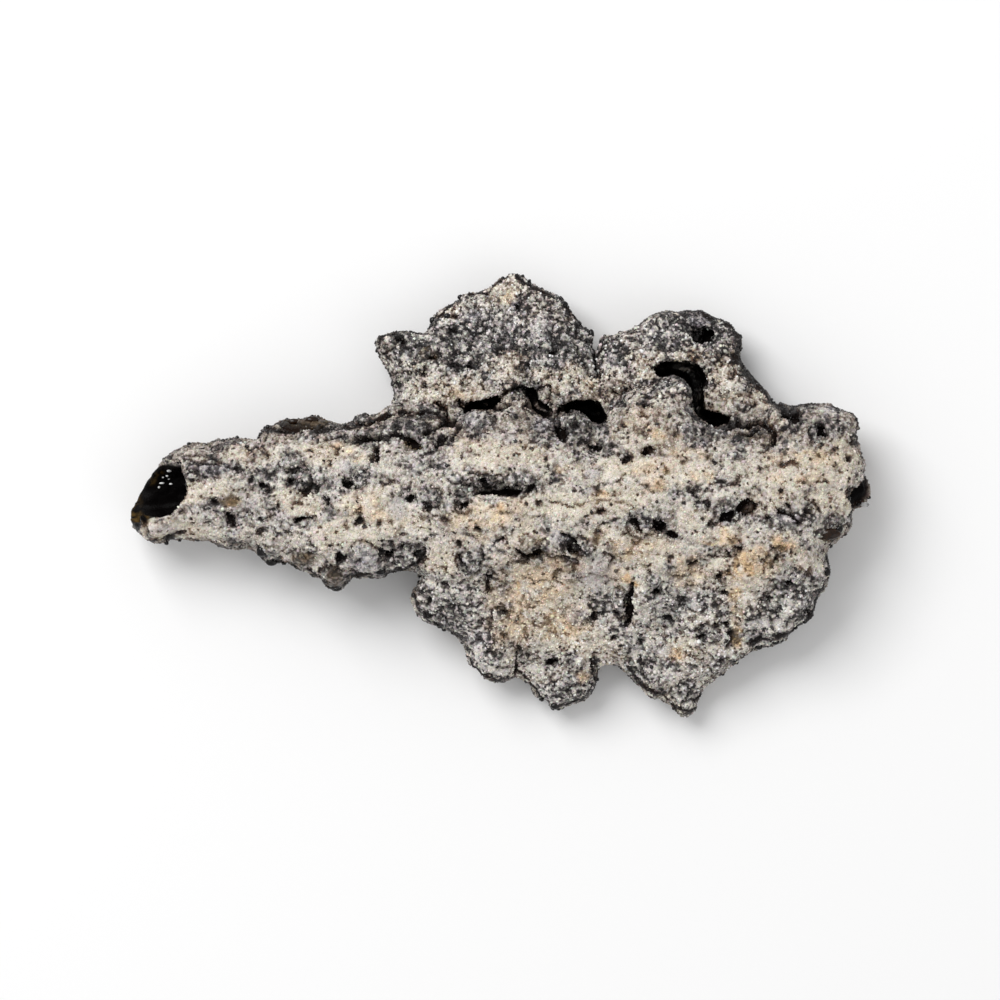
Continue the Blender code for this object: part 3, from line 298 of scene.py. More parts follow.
# Ellipses of frosted violet-grey glass.
LAVENDER_PATCHES = (
    (12.0, -9.5, 2.4, 2.1), (-16.7, -7.6, 1.8, 1.5), (-34.9, 3.1, 2.0, 0.7),
    (9.0, -14.3, 1.6, 1.1), (-41.4, -4.3, 2.1, 0.9), (11.0, 2.7, 1.3, 0.9),
    (22.9, 10.1, 0.7, 0.7), (4.6, 8.1, 1.1, 1.0), (34.5, -2.9, 1.7, 1.0), (26.6, 7.9, 1.5, 0.9),
    (0.4, 7.3, 1.2, 0.9), (40.0, 9.7, 1.7, 1.1), (-19.2, 3.0, 1.2, 0.7), (-12.4, -1.9, 1.5, 1.1),
    (-3.9, 9.1, 1.2, 1.0), (19.3, -19.0, 1.5, 1.1), (22.9, -12.9, 1.1, 0.9),
    (-2.7, -17.8, 1.5, 1.1), (24.2, 21.3, 1.5, 0.7), (-3.9, 21.9, 1.5, 1.0),
    (5.2, 20.7, 1.5, 1.0), (7.1, -5.6, 1.2, 1.0), (-30.7, -0.7, 1.1, 0.9),
    (-27.1, -2.5, 1.2, 0.9),
)

# Ellipses of brown and amber glass, and the strength of each.
AMBER_PATCHES = (
    (-25.7, 8.7, 1.1, 0.5, 1.0), (-23.4, 9.0, 1.5, 0.6, 1.0), (-22.0, 8.7, 0.7, 0.5, 1.0),
    (-43.0, 1.6, 0.9, 1.2, 0.9), (-43.6, -1.4, 0.9, 1.4, 1.0), (-44.0, -3.0, 0.9, 1.0, 1.0),
    (-42.0, 2.5, 0.5, 0.5, 0.7), (-33.2, -1.0, 1.2, 0.6, 0.9), (-32.5, -0.5, 0.7, 0.4, 0.9),
    (39.9, -4.9, 1.3, 0.7, 1.1), (-24.3, -8.0, 1.7, 1.0, 0.6), (-20.4, -9.8, 1.3, 1.2, 0.8),
    (-6.0, 22.1, 0.5, 0.4, 0.8), (11.6, -5.7, 0.5, 0.7, 0.9), (29.9, -2.0, 1.0, 0.5, 0.4),
    (30.5, 7.1, 1.5, 0.5, 0.6), (-11.0, 6.3, 1.0, 0.4, 0.6), (28.4, -17.6, 0.5, 0.8, 0.7),
    (0.4, -11.0, 0.5, 1.0, 0.4),
)

# Dark lines along the rims of the thin parts, partly dark glass and partly painted shade of the
# side
# walls: half width and the points that each line runs through.
RIM_LINES = (
    (0.35, (-42.3, 4.3), (-41.2, 5.8), (-40.7, 6.7)),
    # This line paints shade into the hole at the tube's right end.
    (1.0, (45.0, 1.4), (45.5, 0.3), (45.2, -1.2)),
    (0.16, (-43.4, -5.7), (-41.0, -5.4), (-38.7, -4.8)),
    (0.26, (-28.5, 7.9), (-26.6, 7.7), (-24.6, 7.9), (-22.4, 7.6), (-20.7, 7.9)),
    (0.14, (18.3, 22.3), (20.5, 22.5), (22.9, 22.5)),
    (0.40, (22.9, 22.5), (24.8, 22.0), (26.4, 20.9), (28.1, 19.9), (28.8, 18.6)),
    (0.60, (28.8, 18.6), (28.4, 16.9), (29.8, 14.9), (31.1, 13.2), (32.2, 11.9), (33.7, 11.0)),
    (0.16, (33.7, 11.0), (36.4, 11.0), (39.0, 11.2), (41.0, 10.4)),
    (0.16, (-1.8, 24.8), (-0.2, 26.2), (1.3, 26.9), (3.0, 25.7), (4.8, 24.8)),
    (0.20, (4.8, 24.8), (6.6, 24.1), (7.8, 22.8), (8.9, 21.3), (10.7, 19.5)),
    (0.14, (10.7, 19.5), (11.0, 17.6), (11.7, 16.7), (12.4, 18.2)),
    (0.14, (-8.1, 21.5), (-6.8, 23.0), (-5.4, 24.0), (-3.9, 24.7), (-1.8, 24.8)),
    (0.14, (-15.1, 17.6), (-14.5, 19.1), (-13.1, 19.8), (-11.2, 19.7), (-9.4, 19.8)),
    (0.18, (-29.0, 8.2), (-26.5, 7.9), (-23.4, 8.1), (-21.0, 7.6), (-18.3, 8.1)),
    (0.20, (-18.3, 8.1), (-15.9, 9.1), (-14.2, 9.9), (-12.2, 9.3), (-9.4, 10.1), (-6.7, 9.1)),
    (0.20, (-29.8, -6.3), (-28.8, -7.5), (-27.1, -8.2)),
    (0.16, (-24.6, -8.5), (-22.7, -9.5), (-21.0, -10.9), (-19.5, -10.8), (-18.3, -9.6),
     (-15.9, -9.5)),
    (0.20, (-14.2, -9.5), (-12.2, -9.1), (-10.2, -8.2), (-9.3, -7.0)),
    (0.16, (-10.7, -11.7), (-10.2, -13.6), (-8.5, -15.3), (-6.3, -16.8), (-4.4, -17.8)),
    (0.18, (-4.4, -19.0), (-3.4, -20.9), (-2.0, -22.1), (0.0, -22.9)),
    (0.16, (2.2, -21.7), (4.1, -23.9), (6.1, -25.6), (7.8, -25.6), (9.8, -24.3)),
    (0.22, (11.1, -19.6), (11.7, -21.7), (11.2, -23.9)),
    (0.16, (15.4, -21.2), (16.8, -22.9), (19.3, -24.1), (21.2, -25.8), (22.9, -26.0)),
    (0.16, (23.4, -25.1), (26.1, -23.1), (28.3, -21.2), (30.5, -19.0)),
    (0.30, (30.0, -18.0), (32.5, -17.3), (34.6, -17.0), (36.4, -15.8)),
    (0.22, (36.4, -15.8), (37.8, -14.1), (38.6, -11.9), (39.8, -9.7), (40.0, -7.5)),
    (0.18, (44.4, 3.0), (44.9, 1.0), (44.7, -0.7), (43.2, -2.1)),
    (0.16, (41.0, 10.4), (42.7, 9.8), (43.7, 7.9), (43.4, 5.7)),
)

# Swellings of the outline, and hollows where the height is below zero: middle x and y, reach
# and height.
SWELLINGS = (
    (-14.4, 18.2, 1.3, 0.4), (1.3, 26.6, 0.9, 0.6), (-28.0, -8.1, 0.8, 0.2),
    (-20.4, -11.2, 1.2, 0.25), (-16.8, -7.8, 1.2, 0.2), (-11.8, -7.6, 0.9, 0.3),
    (6.5, -25.6, 0.9, 0.5), (22.4, -26.2, 1.0, 0.8), (33.2, -17.0, 1.0, 0.3),
    (10.7, 19.2, 0.9, 0.7), (12.7, 18.9, 0.7, 0.4), (7.4, 23.4, 1.0, 0.4),
    (20.0, 22.3, 2.0, 0.25), (28.3, 18.8, 2.5, 0.35), (31.7, 13.0, 2.5, 0.35),
    (44.2, -0.8, 1.8, 1.1), (44.2, 4.0, 4.0, 0.4), (43.2, 11.2, 0.9, 0.5), (42.5, -4.5, 1.5, 0.4),
    (40.2, -7.4, 1.3, -0.4), (37.6, -14.8, 1.5, 0.6), (27.0, -21.5, 3.5, 0.5),
    (17.7, -24.3, 1.2, 0.3), (10.6, -24.3, 2.0, 0.5), (3.2, -23.4, 1.2, -0.4),
    (-4.7, -19.2, 1.5, -0.35), (-10.4, -10.1, 1.0, -0.7), (-24.5, -7.8, 1.5, -0.3),
    (-30.0, -6.6, 1.2, -0.3), (-25.0, 9.6, 3.0, -0.4), (-30.2, 7.2, 1.0, -0.5),
    (-13.2, 12.0, 2.0, -0.5), (-16.2, 9.6, 2.0, -0.5), (-9.4, 20.0, 1.0, -0.4),
    (-7.0, 22.4, 1.2, -0.3), (-2.6, 24.9, 1.5, -0.35), (15.9, 20.8, 2.5, -0.3),
    (-39.6, -5.8, 3.0, -0.3),
)

# Ellipses of the glass drops, and the kind of glass. The white drops in the tube's mouth are
# painted glints.
DROPS = (
    (-29.3, -6.9, 0.6, 0.7, "black"), (-28.1, -8.2, 0.7, 0.5, "black"),
    # The clear drops near x -41 are painted glints on the black glass of the tube's mouth; the one
    # at x 44.4 is a pale bead.
    (-20.3, -11.7, 0.7, 0.5, "black"), (-40.7, 2.9, 0.30, 0.18, "clear"),
    (-41.0, 2.3, 0.17, 0.15, "clear"), (-41.7, 1.4, 0.34, 0.12, "clear"),
    (-40.6, 1.3, 0.24, 0.12, "clear"), (-42.0, 0.9, 0.15, 0.15, "clear"),
    (-40.8, 1.9, 0.14, 0.10, "clear"), (-41.5, 2.1, 0.12, 0.11, "clear"),
    (6.5, -25.9, 0.6, 0.4, "black"), (39.8, -4.8, 1.4, 0.75, "amber"),
    (41.0, -4.2, 0.5, 0.6, "black"), (44.4, -1.2, 0.55, 0.35, "clear"),
    (-23.2, 9.1, 0.8, 0.45, "amber"), (-25.4, 8.9, 0.7, 0.4, "amber"),
    (-14.8, -9.3, 0.7, 0.5, "black"), (31.4, -18.6, 0.5, 0.4, "black"),
    (33.4, -18.0, 0.5, 0.4, "black"), (10.9, 19.6, 0.35, 0.6, "black"),
    (39.5, -9.4, 0.5, 0.6, "black"), (-8.4, 21.3, 0.5, 0.45, "black"),
    (-6.9, 23.0, 0.45, 0.4, "black"), (8.1, 23.4, 0.5, 0.4, "black"),
)

# The colour of each kind of glass, as linear light. The clear kind is also painted glints in the
# mouth.
GLASS_TINTS = {
    "black": (0.006, 0.005, 0.005),
    "amber": (0.018, 0.007, 0.002),
    "clear": (0.700, 0.700, 0.690),
}

# The tube's hollow: x, y and z of its middle line and its radius.
BORE = (
    (-47.0, -0.6, 6.9, 3.0), (-41.0, -0.4, 6.6, 3.0), (-34.0, -0.2, 6.2, 2.6),
    (-24.0, -0.4, 6.0, 2.5), (-12.0, -0.2, 6.4, 2.5), (2.0, 0.2, 6.8, 2.3),
    (16.0, 0.8, 6.8, 2.2), (30.0, 1.2, 7.2, 2.0), (40.0, 0.6, 7.8, 1.9),
    (47.0, -0.4, 8.2, 2.2),
)

# ---------------------------------------------------------------- sizes, shares and seeds
# Lengths are in millimetres and shares run from 0 to 1. A WANDER is how far edges wander and
# the seed, a RANGE is the least and the most, and other pairs are the ends of a soft step.

# How each ground's patches lie: their table, how far their edges wander, the seed, where they
# fade, in half widths, and their strength.
PATCHES = {
    "cream": (CREAM_PATCHES, 0.9, 110, (1.35, 0.65), 1.0),
    "grey": (GREY_PATCHES, 0.9, 120, (1.25, 0.6), 0.7),
    "ochre": (OCHRE_PATCHES, 0.7, 130, (1.3, 0.4), 1.0),
    "amber": (AMBER_PATCHES, 0.4, 150, (1.25, 0.6), 1.0),
    "lavender": (LAVENDER_PATCHES, 0.8, 160, (1.3, 0.5), 1.0),
}
# Layers of noise: their strength or height, the size of their lumps, or sizes in x, y and z,
# and their seed.
LAYERS = {
    "drift": (1.0, 5.0, 101), "speck": (1.0, 1.3, 102), "stain_drift": (1.0, 3.0, 141),
    "stain_break": (1.0, 0.9, 142), "swell": (0.15, 3.0, 221),
    "ridges": (0.14, (3.4, 1.1, 1.4), 222), "fuzz": (0.05, 0.4, 223),
    "moat_break": (1.0, 1.6, 232), "pit_edge": (0.42, 0.45, 246),
    "rim_break": (1.0, 1.1, 258), "mouth_grooves": (1.0, (6.0, 0.7, 0.9), 271),
    "glass_flow": (0.14, (2.2, 1.0, 1.0), 301), "glass_ripple": (0.14, 0.9, 302),
    "glass_grit": (0.09, 0.5, 303), "tone_drift": (0.3, 1.5, 421), "seam_break": (1.0, 1.2, 422),
}
# Cells that split up the crust: their size, or sizes in x, y and z, and their seed.
CELLS = {
    "pebbles": ((1.45, 1.2, 1.2), 201), "crumbs": (0.66, 211), "sand": (0.62, 401),
    "fine_sand": (0.33, 411), "long_flecks": ((1.1, 0.9, 0.9), 431), "round_flecks": (0.7, 441),
}
CELL_NUMBER_SEED = 7
FAR = 9.0
# How an ellipse's edges wander: the share, the size of the noise and what is added to the seed.
WANDERS = ((1.0, 2.2, 0), (0.5, 0.8, 2))
LINE_WANDER_SIZE = 0.9
LINE_MARGIN = 3.0        # in a line's half widths

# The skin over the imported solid. Its faces stay fine where they look up, clear of the hollow,
# and all about the tube's mouth.
WELD_DISTANCE = 2e-6     # in metres
EASE_SHARE = 0.5
FINE_FACING = 0.05
FINE_CLEARANCE = 1.2
MOUTH_END = -38.0
MOUTH_FACING = -0.1
THINNING = 6.0
FLOOR_GAP = 0.02
# Rays that find how much of the sky the object hides.
SKY_RAYS = 8
SKY_REACH = 12.0
SKY_START = 0.25
SKY_LEAN = 1.05
SKY_SEED = 11

# Where the grounds lie, by the z of the normal, the place or the distance from the hollow.
UPPER_FACING = (-0.2, 0.25)
# Faces that look sideways, between SIDE_FACING and UNDER_FACING, get painted shade.
SIDE_FACING = (0.5, 0.0)
UNDER_FACING = (-0.95, -0.6)
WING_SIDE = (10.5, 13.5)
LOBE_SIDE = (-9.0, -13.0)
LOBE_LEFT = (-12.0, -8.0)
LOBE_LEAF = 0.62
BORE_WALL = (1.25, 0.95)
# Places that hide this much of the sky are painted black as shade, like the glass lining.
PAINTED_SHADE_SHELTER = (0.5, 0.8)

# The relief. The two means are distances from a cell's middle, in cell sizes.
PEBBLE_MEAN = 0.62
PEBBLE_HEIGHT = 0.30
PEBBLE_CORNER = (0.74, 0.92)
PEBBLE_CORNER_DEPTH = 0.16
CRUMB_MEAN = 0.55
CRUMB_HEIGHT = 0.17
CRUMB_CORNER = (0.80, 0.95)
CRUMB_CORNER_DEPTH = 0.10
LUMP_WANDER = (0.45, 231)
LUMP_HEIGHT = 0.30       # in a lump's half widths, as are the next three
LEAF_LUMP_LOSS = 0.10
MOAT_MIDDLE = 1.08
MOAT_WIDTH = 0.14
MOAT_DEPTH = 0.20
PIT_WANDER = (0.42, 241)
PIT_SHRINK = 0.25        # in a pit's half widths, as is the next
PIT_DEPTH = 0.65
DEEP_PITS = 5
PIT_DARKNESS = (0.62, 0.8, 1.0)
CREVICE_WANDER = (0.12, 251)
CREVICE_DEPTH = 1.2      # times the table's depth
FULL_CREVICE = 0.25      # thinner ones are fainter
CREVICE_FAINTEST = 0.4
RIM_WANDER = (0.2, 256)
GROOVED_END = (-27.0, -33.0)
GROOVE_DEPTH = 0.16
LIP_LEFT = (-40.0, -43.0)
LIP_BELOW = (8.0, 6.5)
LIP_REACH = 1.5
LIP_MIDDLE = -1.4
LIP_WIDTH = 2.9

# Sums over the grounds: the plain amount, and what each ground adds at its full strength.
WARMTH = (0.50, {"cream": 0.50, "grey": -0.45, "leaf": -0.10})
TONE = (0.63, {"cream": 0.09, "grey": -0.18})
TONE_SWING = (0.26, {"leaf": 0.24, "grey": 0.14, "cream": -0.07})
# Painted shade in the seams between the sand's cells, and in the hollows and on the rims.
SEAM_SHADE = (0.12, {"leaf": 0.26, "grey": 0.12})
SHADOW = (0.0, {"dark": 0.62, "rim": 0.2})
ROUGHNESS = (0.62, {"grey": -0.22, "glassy": -0.45})
SPECULAR = (0.45, {"dark": -0.42, "glassy": -0.40})
LEAST_ROUGHNESS = 0.14
LEAST_SPECULAR = 0.03

# What else makes the sand lighter or darker.
LEAF_SHADE = 0.09
LOBE_LIGHT = 0.08
LOBE_LIGHT_SIDE = (-9.0, -12.0)
LAVENDER_LIGHT = 0.12
AMBER_SHADE = 0.22
MOUTH_SHADE = 0.05
MOUTH_SHADE_SIDE = (-22.0, -30.0)
# Painted shade in the valley between the tube and the wing.
VALLEY_SHADE = 0.14
VALLEY_MIDDLE = 8.5
VALLEY_WIDTH = 3.5
SAND_SHARE = 0.75
FINE_SAND_SHARE = 1.25
# Painted shade in the seams between the sand's cells.
SEAM_WIDTH = (0.14, 0.02)
FLECK_SHADE = 0.56
FLECK_SIZE = 0.09
FLECK_SPREAD = 0.29
PALE_LIMIT = 0.74
PALE_LOSS = 0.45

# How light each mineral is, from 0 to 1, in warm creamy sand and in cool grey glass.
MINERAL_TONES = (0.08, 0.24, 0.40, 0.55, 0.70, 0.96)
WARM_MINERALS = (
    "umber_glass", "brown_iron", "tan_sand", "pale_tan", "cream_quartz", "white_quartz",
)
COOL_MINERALS = (
    "black_glass_and_shade", "dark_grey", "mid_grey", "pale_grey", "silver_grey", "white_quartz",
)
# What the crust stores at its vertices, for the materials and the grains.
STORED = (
    "cream", "leaf", "grey", "ochre", "amber", "lavender", "dark", "glassy", "rim", "upper",
    "tone",
)
# The stains over the sand: the colour's name, and its share where the stain is full.
STAINS = {
    "ochre": ("ochre_stain", 0.70), "lavender": ("lavender_glass", 0.40),
    "amber": ("amber_glass", 0.80),
}

# The grains' groups: from which tone, up to which tone, and the roughness.
GRAIN_GROUPS = {
    "dark_grains": (-1.0, 0.26, 0.30),
    "grey_grains": (0.26, 0.50, 0.42),
    "pale_grains": (0.50, 2.0, 0.55),
}
# How often each round form is split. Forms that aren't named here are octahedra.
BALL_ROUNDS = {"rounded": 1, "bead": 2, "drop": 3}
PIECE_TRIANGLES = 190000
GRAIN_SEED = 41
GRAIN_TRIES = 2.6        # for each grain that is kept
GRAIN_GAP = 1.25         # in mean radii
GRAIN_SPREAD = 0.25
GRAIN_RANGE = (0.6, 1.6)
GRAIN_BUMPS = (0.78, 1.18)
ROUNDED_LIFT = -0.25
UNDERSIDE_GRAINS = 0.4
STAIN_DARKEST = 0.35
TINT_SPREAD = 0.14
LEAF_TINT_SPREAD = 0.24
HUE_SPREAD = 0.05
TINT_RANGE = (0.002, 0.92)
MAP_CORNERS = ((0.2, 0.2), (0.8, 0.2), (0.5, 0.8))
GLASS_SEED = 53
BEAD_GAP = 0.8
BEAD_RANGE = (0.6, 1.35)
BEAD_LIFT = 0.1
BEAD_SHRINK = 0.96
BEAD_TINT_SPREAD = (0.4, 0.6)      # the mean and the spread
DROP_FLATNESS = 0.85
DROP_BUMPS = 0.10
DROP_BUMP_SIZE = 0.8
DROP_SEED = 400
OVER_ALL = 40.0
TUBE_MIDDLE = 7.0

# The textures in the materials, and how far each changes the colour or the tone.
CRUMB_SIZE = 0.30
CRUMB_SWING = 0.20
LEAF_CRUMB_SWING = 0.16
CRUMB_HUE = 0.14
CLOUD_SIZE = 1.1
CLOUD_SWING = 0.2
STAIN_GAIN = 1.1
STAIN_BASE = 0.15
# The painted shade on the sideways faces, and how brown the painted shade in warm pits is.
SHADED_RIM_SHARE = 0.6
PIT_WARMTH = 0.7
AMBER_GAIN = 3.0
AMBER_BASE = -1.35
GRIT_SIZE = 0.22
GRIT_STRENGTH = 0.5
GRIT_HEIGHT = (0.12 * MM, {"glassy": 0.10 * MM})
GRAIN_CLOUD_SIZE = 0.2
GRAIN_SHADE = (0.5, 0.75)          # a gain and a base, as are the two for the glass
GRAIN_CLOUD_GLOSS = 0.25
GRAIN_GLOSS_LIFT = 0.12
GLASS_SWIRL_SIZE = 0.6
GLASS_SHADE = (3.6, -0.9)
GLASS_ROUGHNESS = (0.22, 0.08)
GLASS_SPECULAR = 0.25
GLASS_COAT = 0.15
GLASS_COAT_ROUGHNESS = 0.06

# The stage. The lamps' places and sizes are in metres.
LENS_SENSOR = 36.0
KEY_PLACE = (-0.35, 0.40, 0.65)
KEY_SIZE = 0.5
FILL_PLACE = (0.60, -0.50, 0.60)
FILL_SIZE = 0.8
VIEW_MIDDLE = (-0.24, -0.67, 8.0)
FLOOR_CLOUD_SIZE = 300.0
FLOOR_CLOUD_SHARE = 0.02
FLOOR_CLOUD = (0.8, 0.8, 0.8, 1.0)
FLOOR_ROUGHNESS = 0.9


# ---------------------------------------------------------------- numbers and noise

def smoothstep(low, high, values):
    """A soft step from 0 at low to 1 at high, which may be the smaller of the two."""
    part = np.clip((values - low) / (high - low), 0.0, 1.0)
    return part * part * (3.0 - 2.0 * part)


def mixed(first, second, share):
    """First where the share is 0, second where it is 1."""
    return first + (second - first) * share


def summed(recipe, values):
    """A recipe's plain amount with what each ground adds."""
    total, shares = recipe
    for ground, share in shares.items():
        total = total + share * values[ground]
    return total


def linear(colour):
    """A screen colour of 0 to 1 as linear light."""
    part = np.asarray(colour, float)
    return np.where(part <= 0.04045, part / 12.92, ((part + 0.055) / 1.055) ** 2.4)


def hashed(cells, seed):
    """A steady random number from 0 to 1 for every whole-numbered cell."""
    x, y, z = (cells[..., axis].astype(np.uint32) for axis in range(3))
    key = x * np.uint32(0x8DA6B343) ^ y * np.uint32(0xD8163841) ^ z * np.uint32(0xCB1AB31F)
    key = key ^ np.uint32((seed * 0x9E3779B1) & 0xFFFFFFFF)
    for shift, factor in ((15, 0x2C1B3C6D), (12, 0x297A2D39)):
        key = (key ^ (key >> np.uint32(shift))) * np.uint32(factor)
    return (key ^ (key >> np.uint32(15))) / 4294967295.0


def noise(points, size, seed):
    """Smooth noise from -1 to 1 whose lumps are of the given size, or sizes in x, y and z."""
    places = points / np.asarray(size)
    low = np.floor(places)
    part = places - low
    blend = part * part * (3.0 - 2.0 * part)
    total = np.zeros(len(points))
    for corner in itertools.product((0, 1), repeat=3):
        weight = np.prod(np.where(corner, blend, 1.0 - blend), axis=1)
        total += weight * hashed(low.astype(np.int64) + corner, seed)
    return 2.0 * total - 1.0


def layer(points, name):
    """A named layer of noise, from minus its strength to its strength."""
    strength, size, seed = LAYERS[name]
    return strength * noise(points, size, seed)


def cobbles(points, name):
    """Distances to the nearest and the next middle of the named cells, in cell sizes, and the
    number of the cell, from 0 to 1.
    """
    size, seed = CELLS[name]
    places = points / np.asarray(size)
    home = np.floor(places).astype(np.int64)
    nearest = np.full(len(points), FAR)
    second = np.full(len(points), FAR)
    number = np.zeros(len(points))
    for step in itertools.product((-1, 0, 1), repeat=3):
        cell = home + step
        middle = cell + np.stack([hashed(cell, seed + axis) for axis in range(3)], axis=1)
        reach = np.linalg.norm(places - middle, axis=1)
        closer = reach < nearest
        second = np.where(closer, nearest, np.minimum(second, reach))
        number = np.where(closer, hashed(cell, seed + CELL_NUMBER_SEED), number)
        nearest = np.minimum(nearest, reach)
    return nearest, second, number


def ellipses(points, table, wander, seed):
    """How near each point is to a table's ellipses, 0 at a middle and 1 at an edge, and which."""
    bent = points[:, :2].copy()
    for axis in range(2):
        for share, size, step in WANDERS:
            bent[:, axis] += share * wander * noise(points, size, seed + step + axis)
    reach = np.full(len(points), FAR)
    which = np.zeros(len(points), int)
    for index, (x, y, half_x, half_y, *_) in enumerate(table):
        here = np.hypot((bent[:, 0] - x) / half_x, (bent[:, 1] - y) / half_y)
        which = np.where(here < reach, index, which)
        reach = np.minimum(reach, here)
    return reach, which


def cracks(points, table, wander, seed):
    """How near each point is to a table's lines, 0 on a line and 1 at its edge, and which."""
    bent = points[:, :2].copy()
    for axis in range(2):
        bent[:, axis] += wander * noise(points, LINE_WANDER_SIZE, seed + axis)
    reach = np.full(len(points), FAR)
    which = np.zeros(len(points), int)
    for index, (half, *line) in enumerate(table):
        low = np.min(line, axis=0) - LINE_MARGIN * half
        high = np.max(line, axis=0) + LINE_MARGIN * half
        close = np.flatnonzero(np.all((bent > low) & (bent < high), axis=1))
        for start, end in zip(line, line[1:]):
            run = np.subtract(end, start)
            away = bent[close] - start
            along = np.clip(away @ run / (run @ run), 0.0, 1.0)
            here = np.linalg.norm(away - along[:, None] * run, axis=1) / half
            nearer = here < reach[close]
            which[close[nearer]] = index
            reach[close] = np.minimum(reach[close], here)
    return reach, which


# ---------------------------------------------------------------- meshes

def link(name, data):
    """A new object for a mesh, a lamp or a camera, in the scene's own collection."""
    piece = bpy.data.objects.new(name, data)
    bpy.context.scene.collection.objects.link(piece)
    return piece


def evaluated_mesh(piece):
    """A new mesh of the piece with its modifiers applied."""
    graph = bpy.context.evaluated_depsgraph_get()
    return bpy.data.meshes.new_from_object(piece.evaluated_get(graph))


def fine_skin(node, voxel, rounds, triangles):
    """The node's form as a fine closed skin: facets eased away, and coarser out of sight."""
    source = node.data.copy()
    work = bmesh.new()
    work.from_mesh(source)
    bmesh.ops.remove_doubles(work, verts=work.verts, dist=WELD_DISTANCE)
    work.to_mesh(source)
    work.free()
    source.materials.clear()
    piece = link("skin", source)
    skin = piece.modifiers.new("Skin", "REMESH")
    skin.mode = "VOXEL"
    skin.voxel_size = voxel
    skin.use_smooth_shade = True
    ease = piece.modifiers.new("Ease", "SMOOTH")
    ease.factor = EASE_SHARE
    ease.iterations = rounds
    fine = evaluated_mesh(piece)
    bpy.data.objects.remove(piece)
    bpy.data.meshes.remove(source)
    piece = link("skin", fine)
    places, normals = vertex_places(fine)
    shown = (normals[:, 2] > FINE_FACING) & (bore_distance(places) > FINE_CLEARANCE)
    shown |= (places[:, 0] < MOUTH_END) & (normals[:, 2] > MOUTH_FACING)
    keep = piece.vertex_groups.new(name="keep_fine")
    keep.add([int(index) for index in np.flatnonzero(shown)], 1.0, "REPLACE")
    thin = piece.modifiers.new("Thin", "DECIMATE")
    thin.ratio = triangles / (2.0 * len(fine.polygons))
    thin.vertex_group = "keep_fine"
    thin.invert_vertex_group = True
    thin.vertex_group_factor = THINNING
    mesh = evaluated_mesh(piece)
    bpy.data.objects.remove(piece)
    bpy.data.meshes.remove(fine)
    return mesh


def bore_distance(places):
    """How far each place is outside the tube's hollow, in millimetres."""
    line = np.array(BORE)
    middle = np.stack([np.interp(places[:, 0], line[:, 0], line[:, k]) for k in (1, 2)], axis=1)
    radius = np.interp(places[:, 0], line[:, 0], line[:, 3])
    return np.hypot(*(places[:, 1:] - middle).T) - radius


def vertex_places(mesh):
    """The vertices' places in millimetres, and their normals."""
    places = np.empty(len(mesh.vertices) * 3, np.float32)
    mesh.vertices.foreach_get("co", places)
    normals = np.empty(len(mesh.vertices) * 3, np.float32)
    mesh.vertex_normals.foreach_get("vector", normals)
    return places.reshape(-1, 3).astype(float) / MM, normals.reshape(-1, 3).astype(float)


def set_places(mesh, places):
    """Moves the vertices to places in millimetres."""
    mesh.vertices.foreach_set("co", (places * MM).astype(np.float32).ravel())


def set_value(mesh, name, values):
    """Stores one number for every vertex, for the materials to read."""
    stored_values = mesh.attributes.new(name, "FLOAT", "POINT")
    stored_values.data.foreach_set("value", values.astype(np.float32))


def get_value(mesh, name):
    """The numbers that set_value stored."""
    values = np.empty(len(mesh.vertices), np.float32)
    mesh.attributes[name].data.foreach_get("value", values)
    return values.astype(float)


def ray_tree(mesh, places):
    """A tree of the mesh's faces, for casting rays in millimetres."""
    faces = [tuple(face.vertices) for face in mesh.polygons]
    return BVHTree.FromPolygons([tuple(place) for place in places], faces)


def shelter(mesh, places, normals):
    """The share of the sky over each vertex that the object itself hides."""
    tree = ray_tree(mesh, places)
    rng = np.random.default_rng(SKY_SEED)
    sky = rng.normal(size=(SKY_RAYS, 3))
    sky /= np.linalg.norm(sky, axis=1, keepdims=True)
    hidden = np.zeros(len(places))
    for index, (place, normal) in enumerate(zip(places, normals)):
        start = Vector(place + SKY_START * normal)
        for way in sky + SKY_LEAN * normal:
            if tree.ray_cast(start, Vector(way), SKY_REACH)[0] is not None:
                hidden[index] += 1.0
    return hidden / SKY_RAYS


# ---------------------------------------------------------------- the crust's ground

def patches(points, name):
    """How strongly a ground's patches cover each point."""
    table, wander, seed, fade, strength = PATCHES[name]
    reach, row = ellipses(points, table, wander, seed)
    own = np.array([(*ellipse, 1.0)[4] for ellipse in table])[row]
    return strength * own * smoothstep(*fade, reach)


def grounds(points, upper):
    """The crust's grounds at each point, each from 0 to 1, by name. Noise stands in for the
    patches where a point isn't on the upper face.
    """
    drift = layer(points, "drift")
    speck = layer(points, "speck")
    # The share of each ground, then where along the noise it starts and is full.
    below = {
        "cream": 0.8 * smoothstep(0.1, -0.6, drift + 0.5 * speck),
        "grey": 0.8 * smoothstep(0.15, 0.65, drift + 0.4 * speck),
        "ochre": 0.5 * smoothstep(0.55, 0.85, layer(points, "stain_drift")),
        "lavender": smoothstep(0.3, 0.8, speck),
    }
    ground = {name: mixed(plain, patches(points, name), upper) for name, plain in below.items()}
    ground["ochre"] *= smoothstep(-0.7, 0.4, layer(points, "stain_break"))
    ground["amber"] = patches(points, "amber")
    wing = smoothstep(*WING_SIDE, points[:, 1] + 0.8 * drift)
    lobe = smoothstep(*LOBE_SIDE, points[:, 1] + drift) * smoothstep(*LOBE_LEFT, points[:, 0])
    ground["leaf"] = np.maximum(wing, LOBE_LEAF * lobe)
    return ground


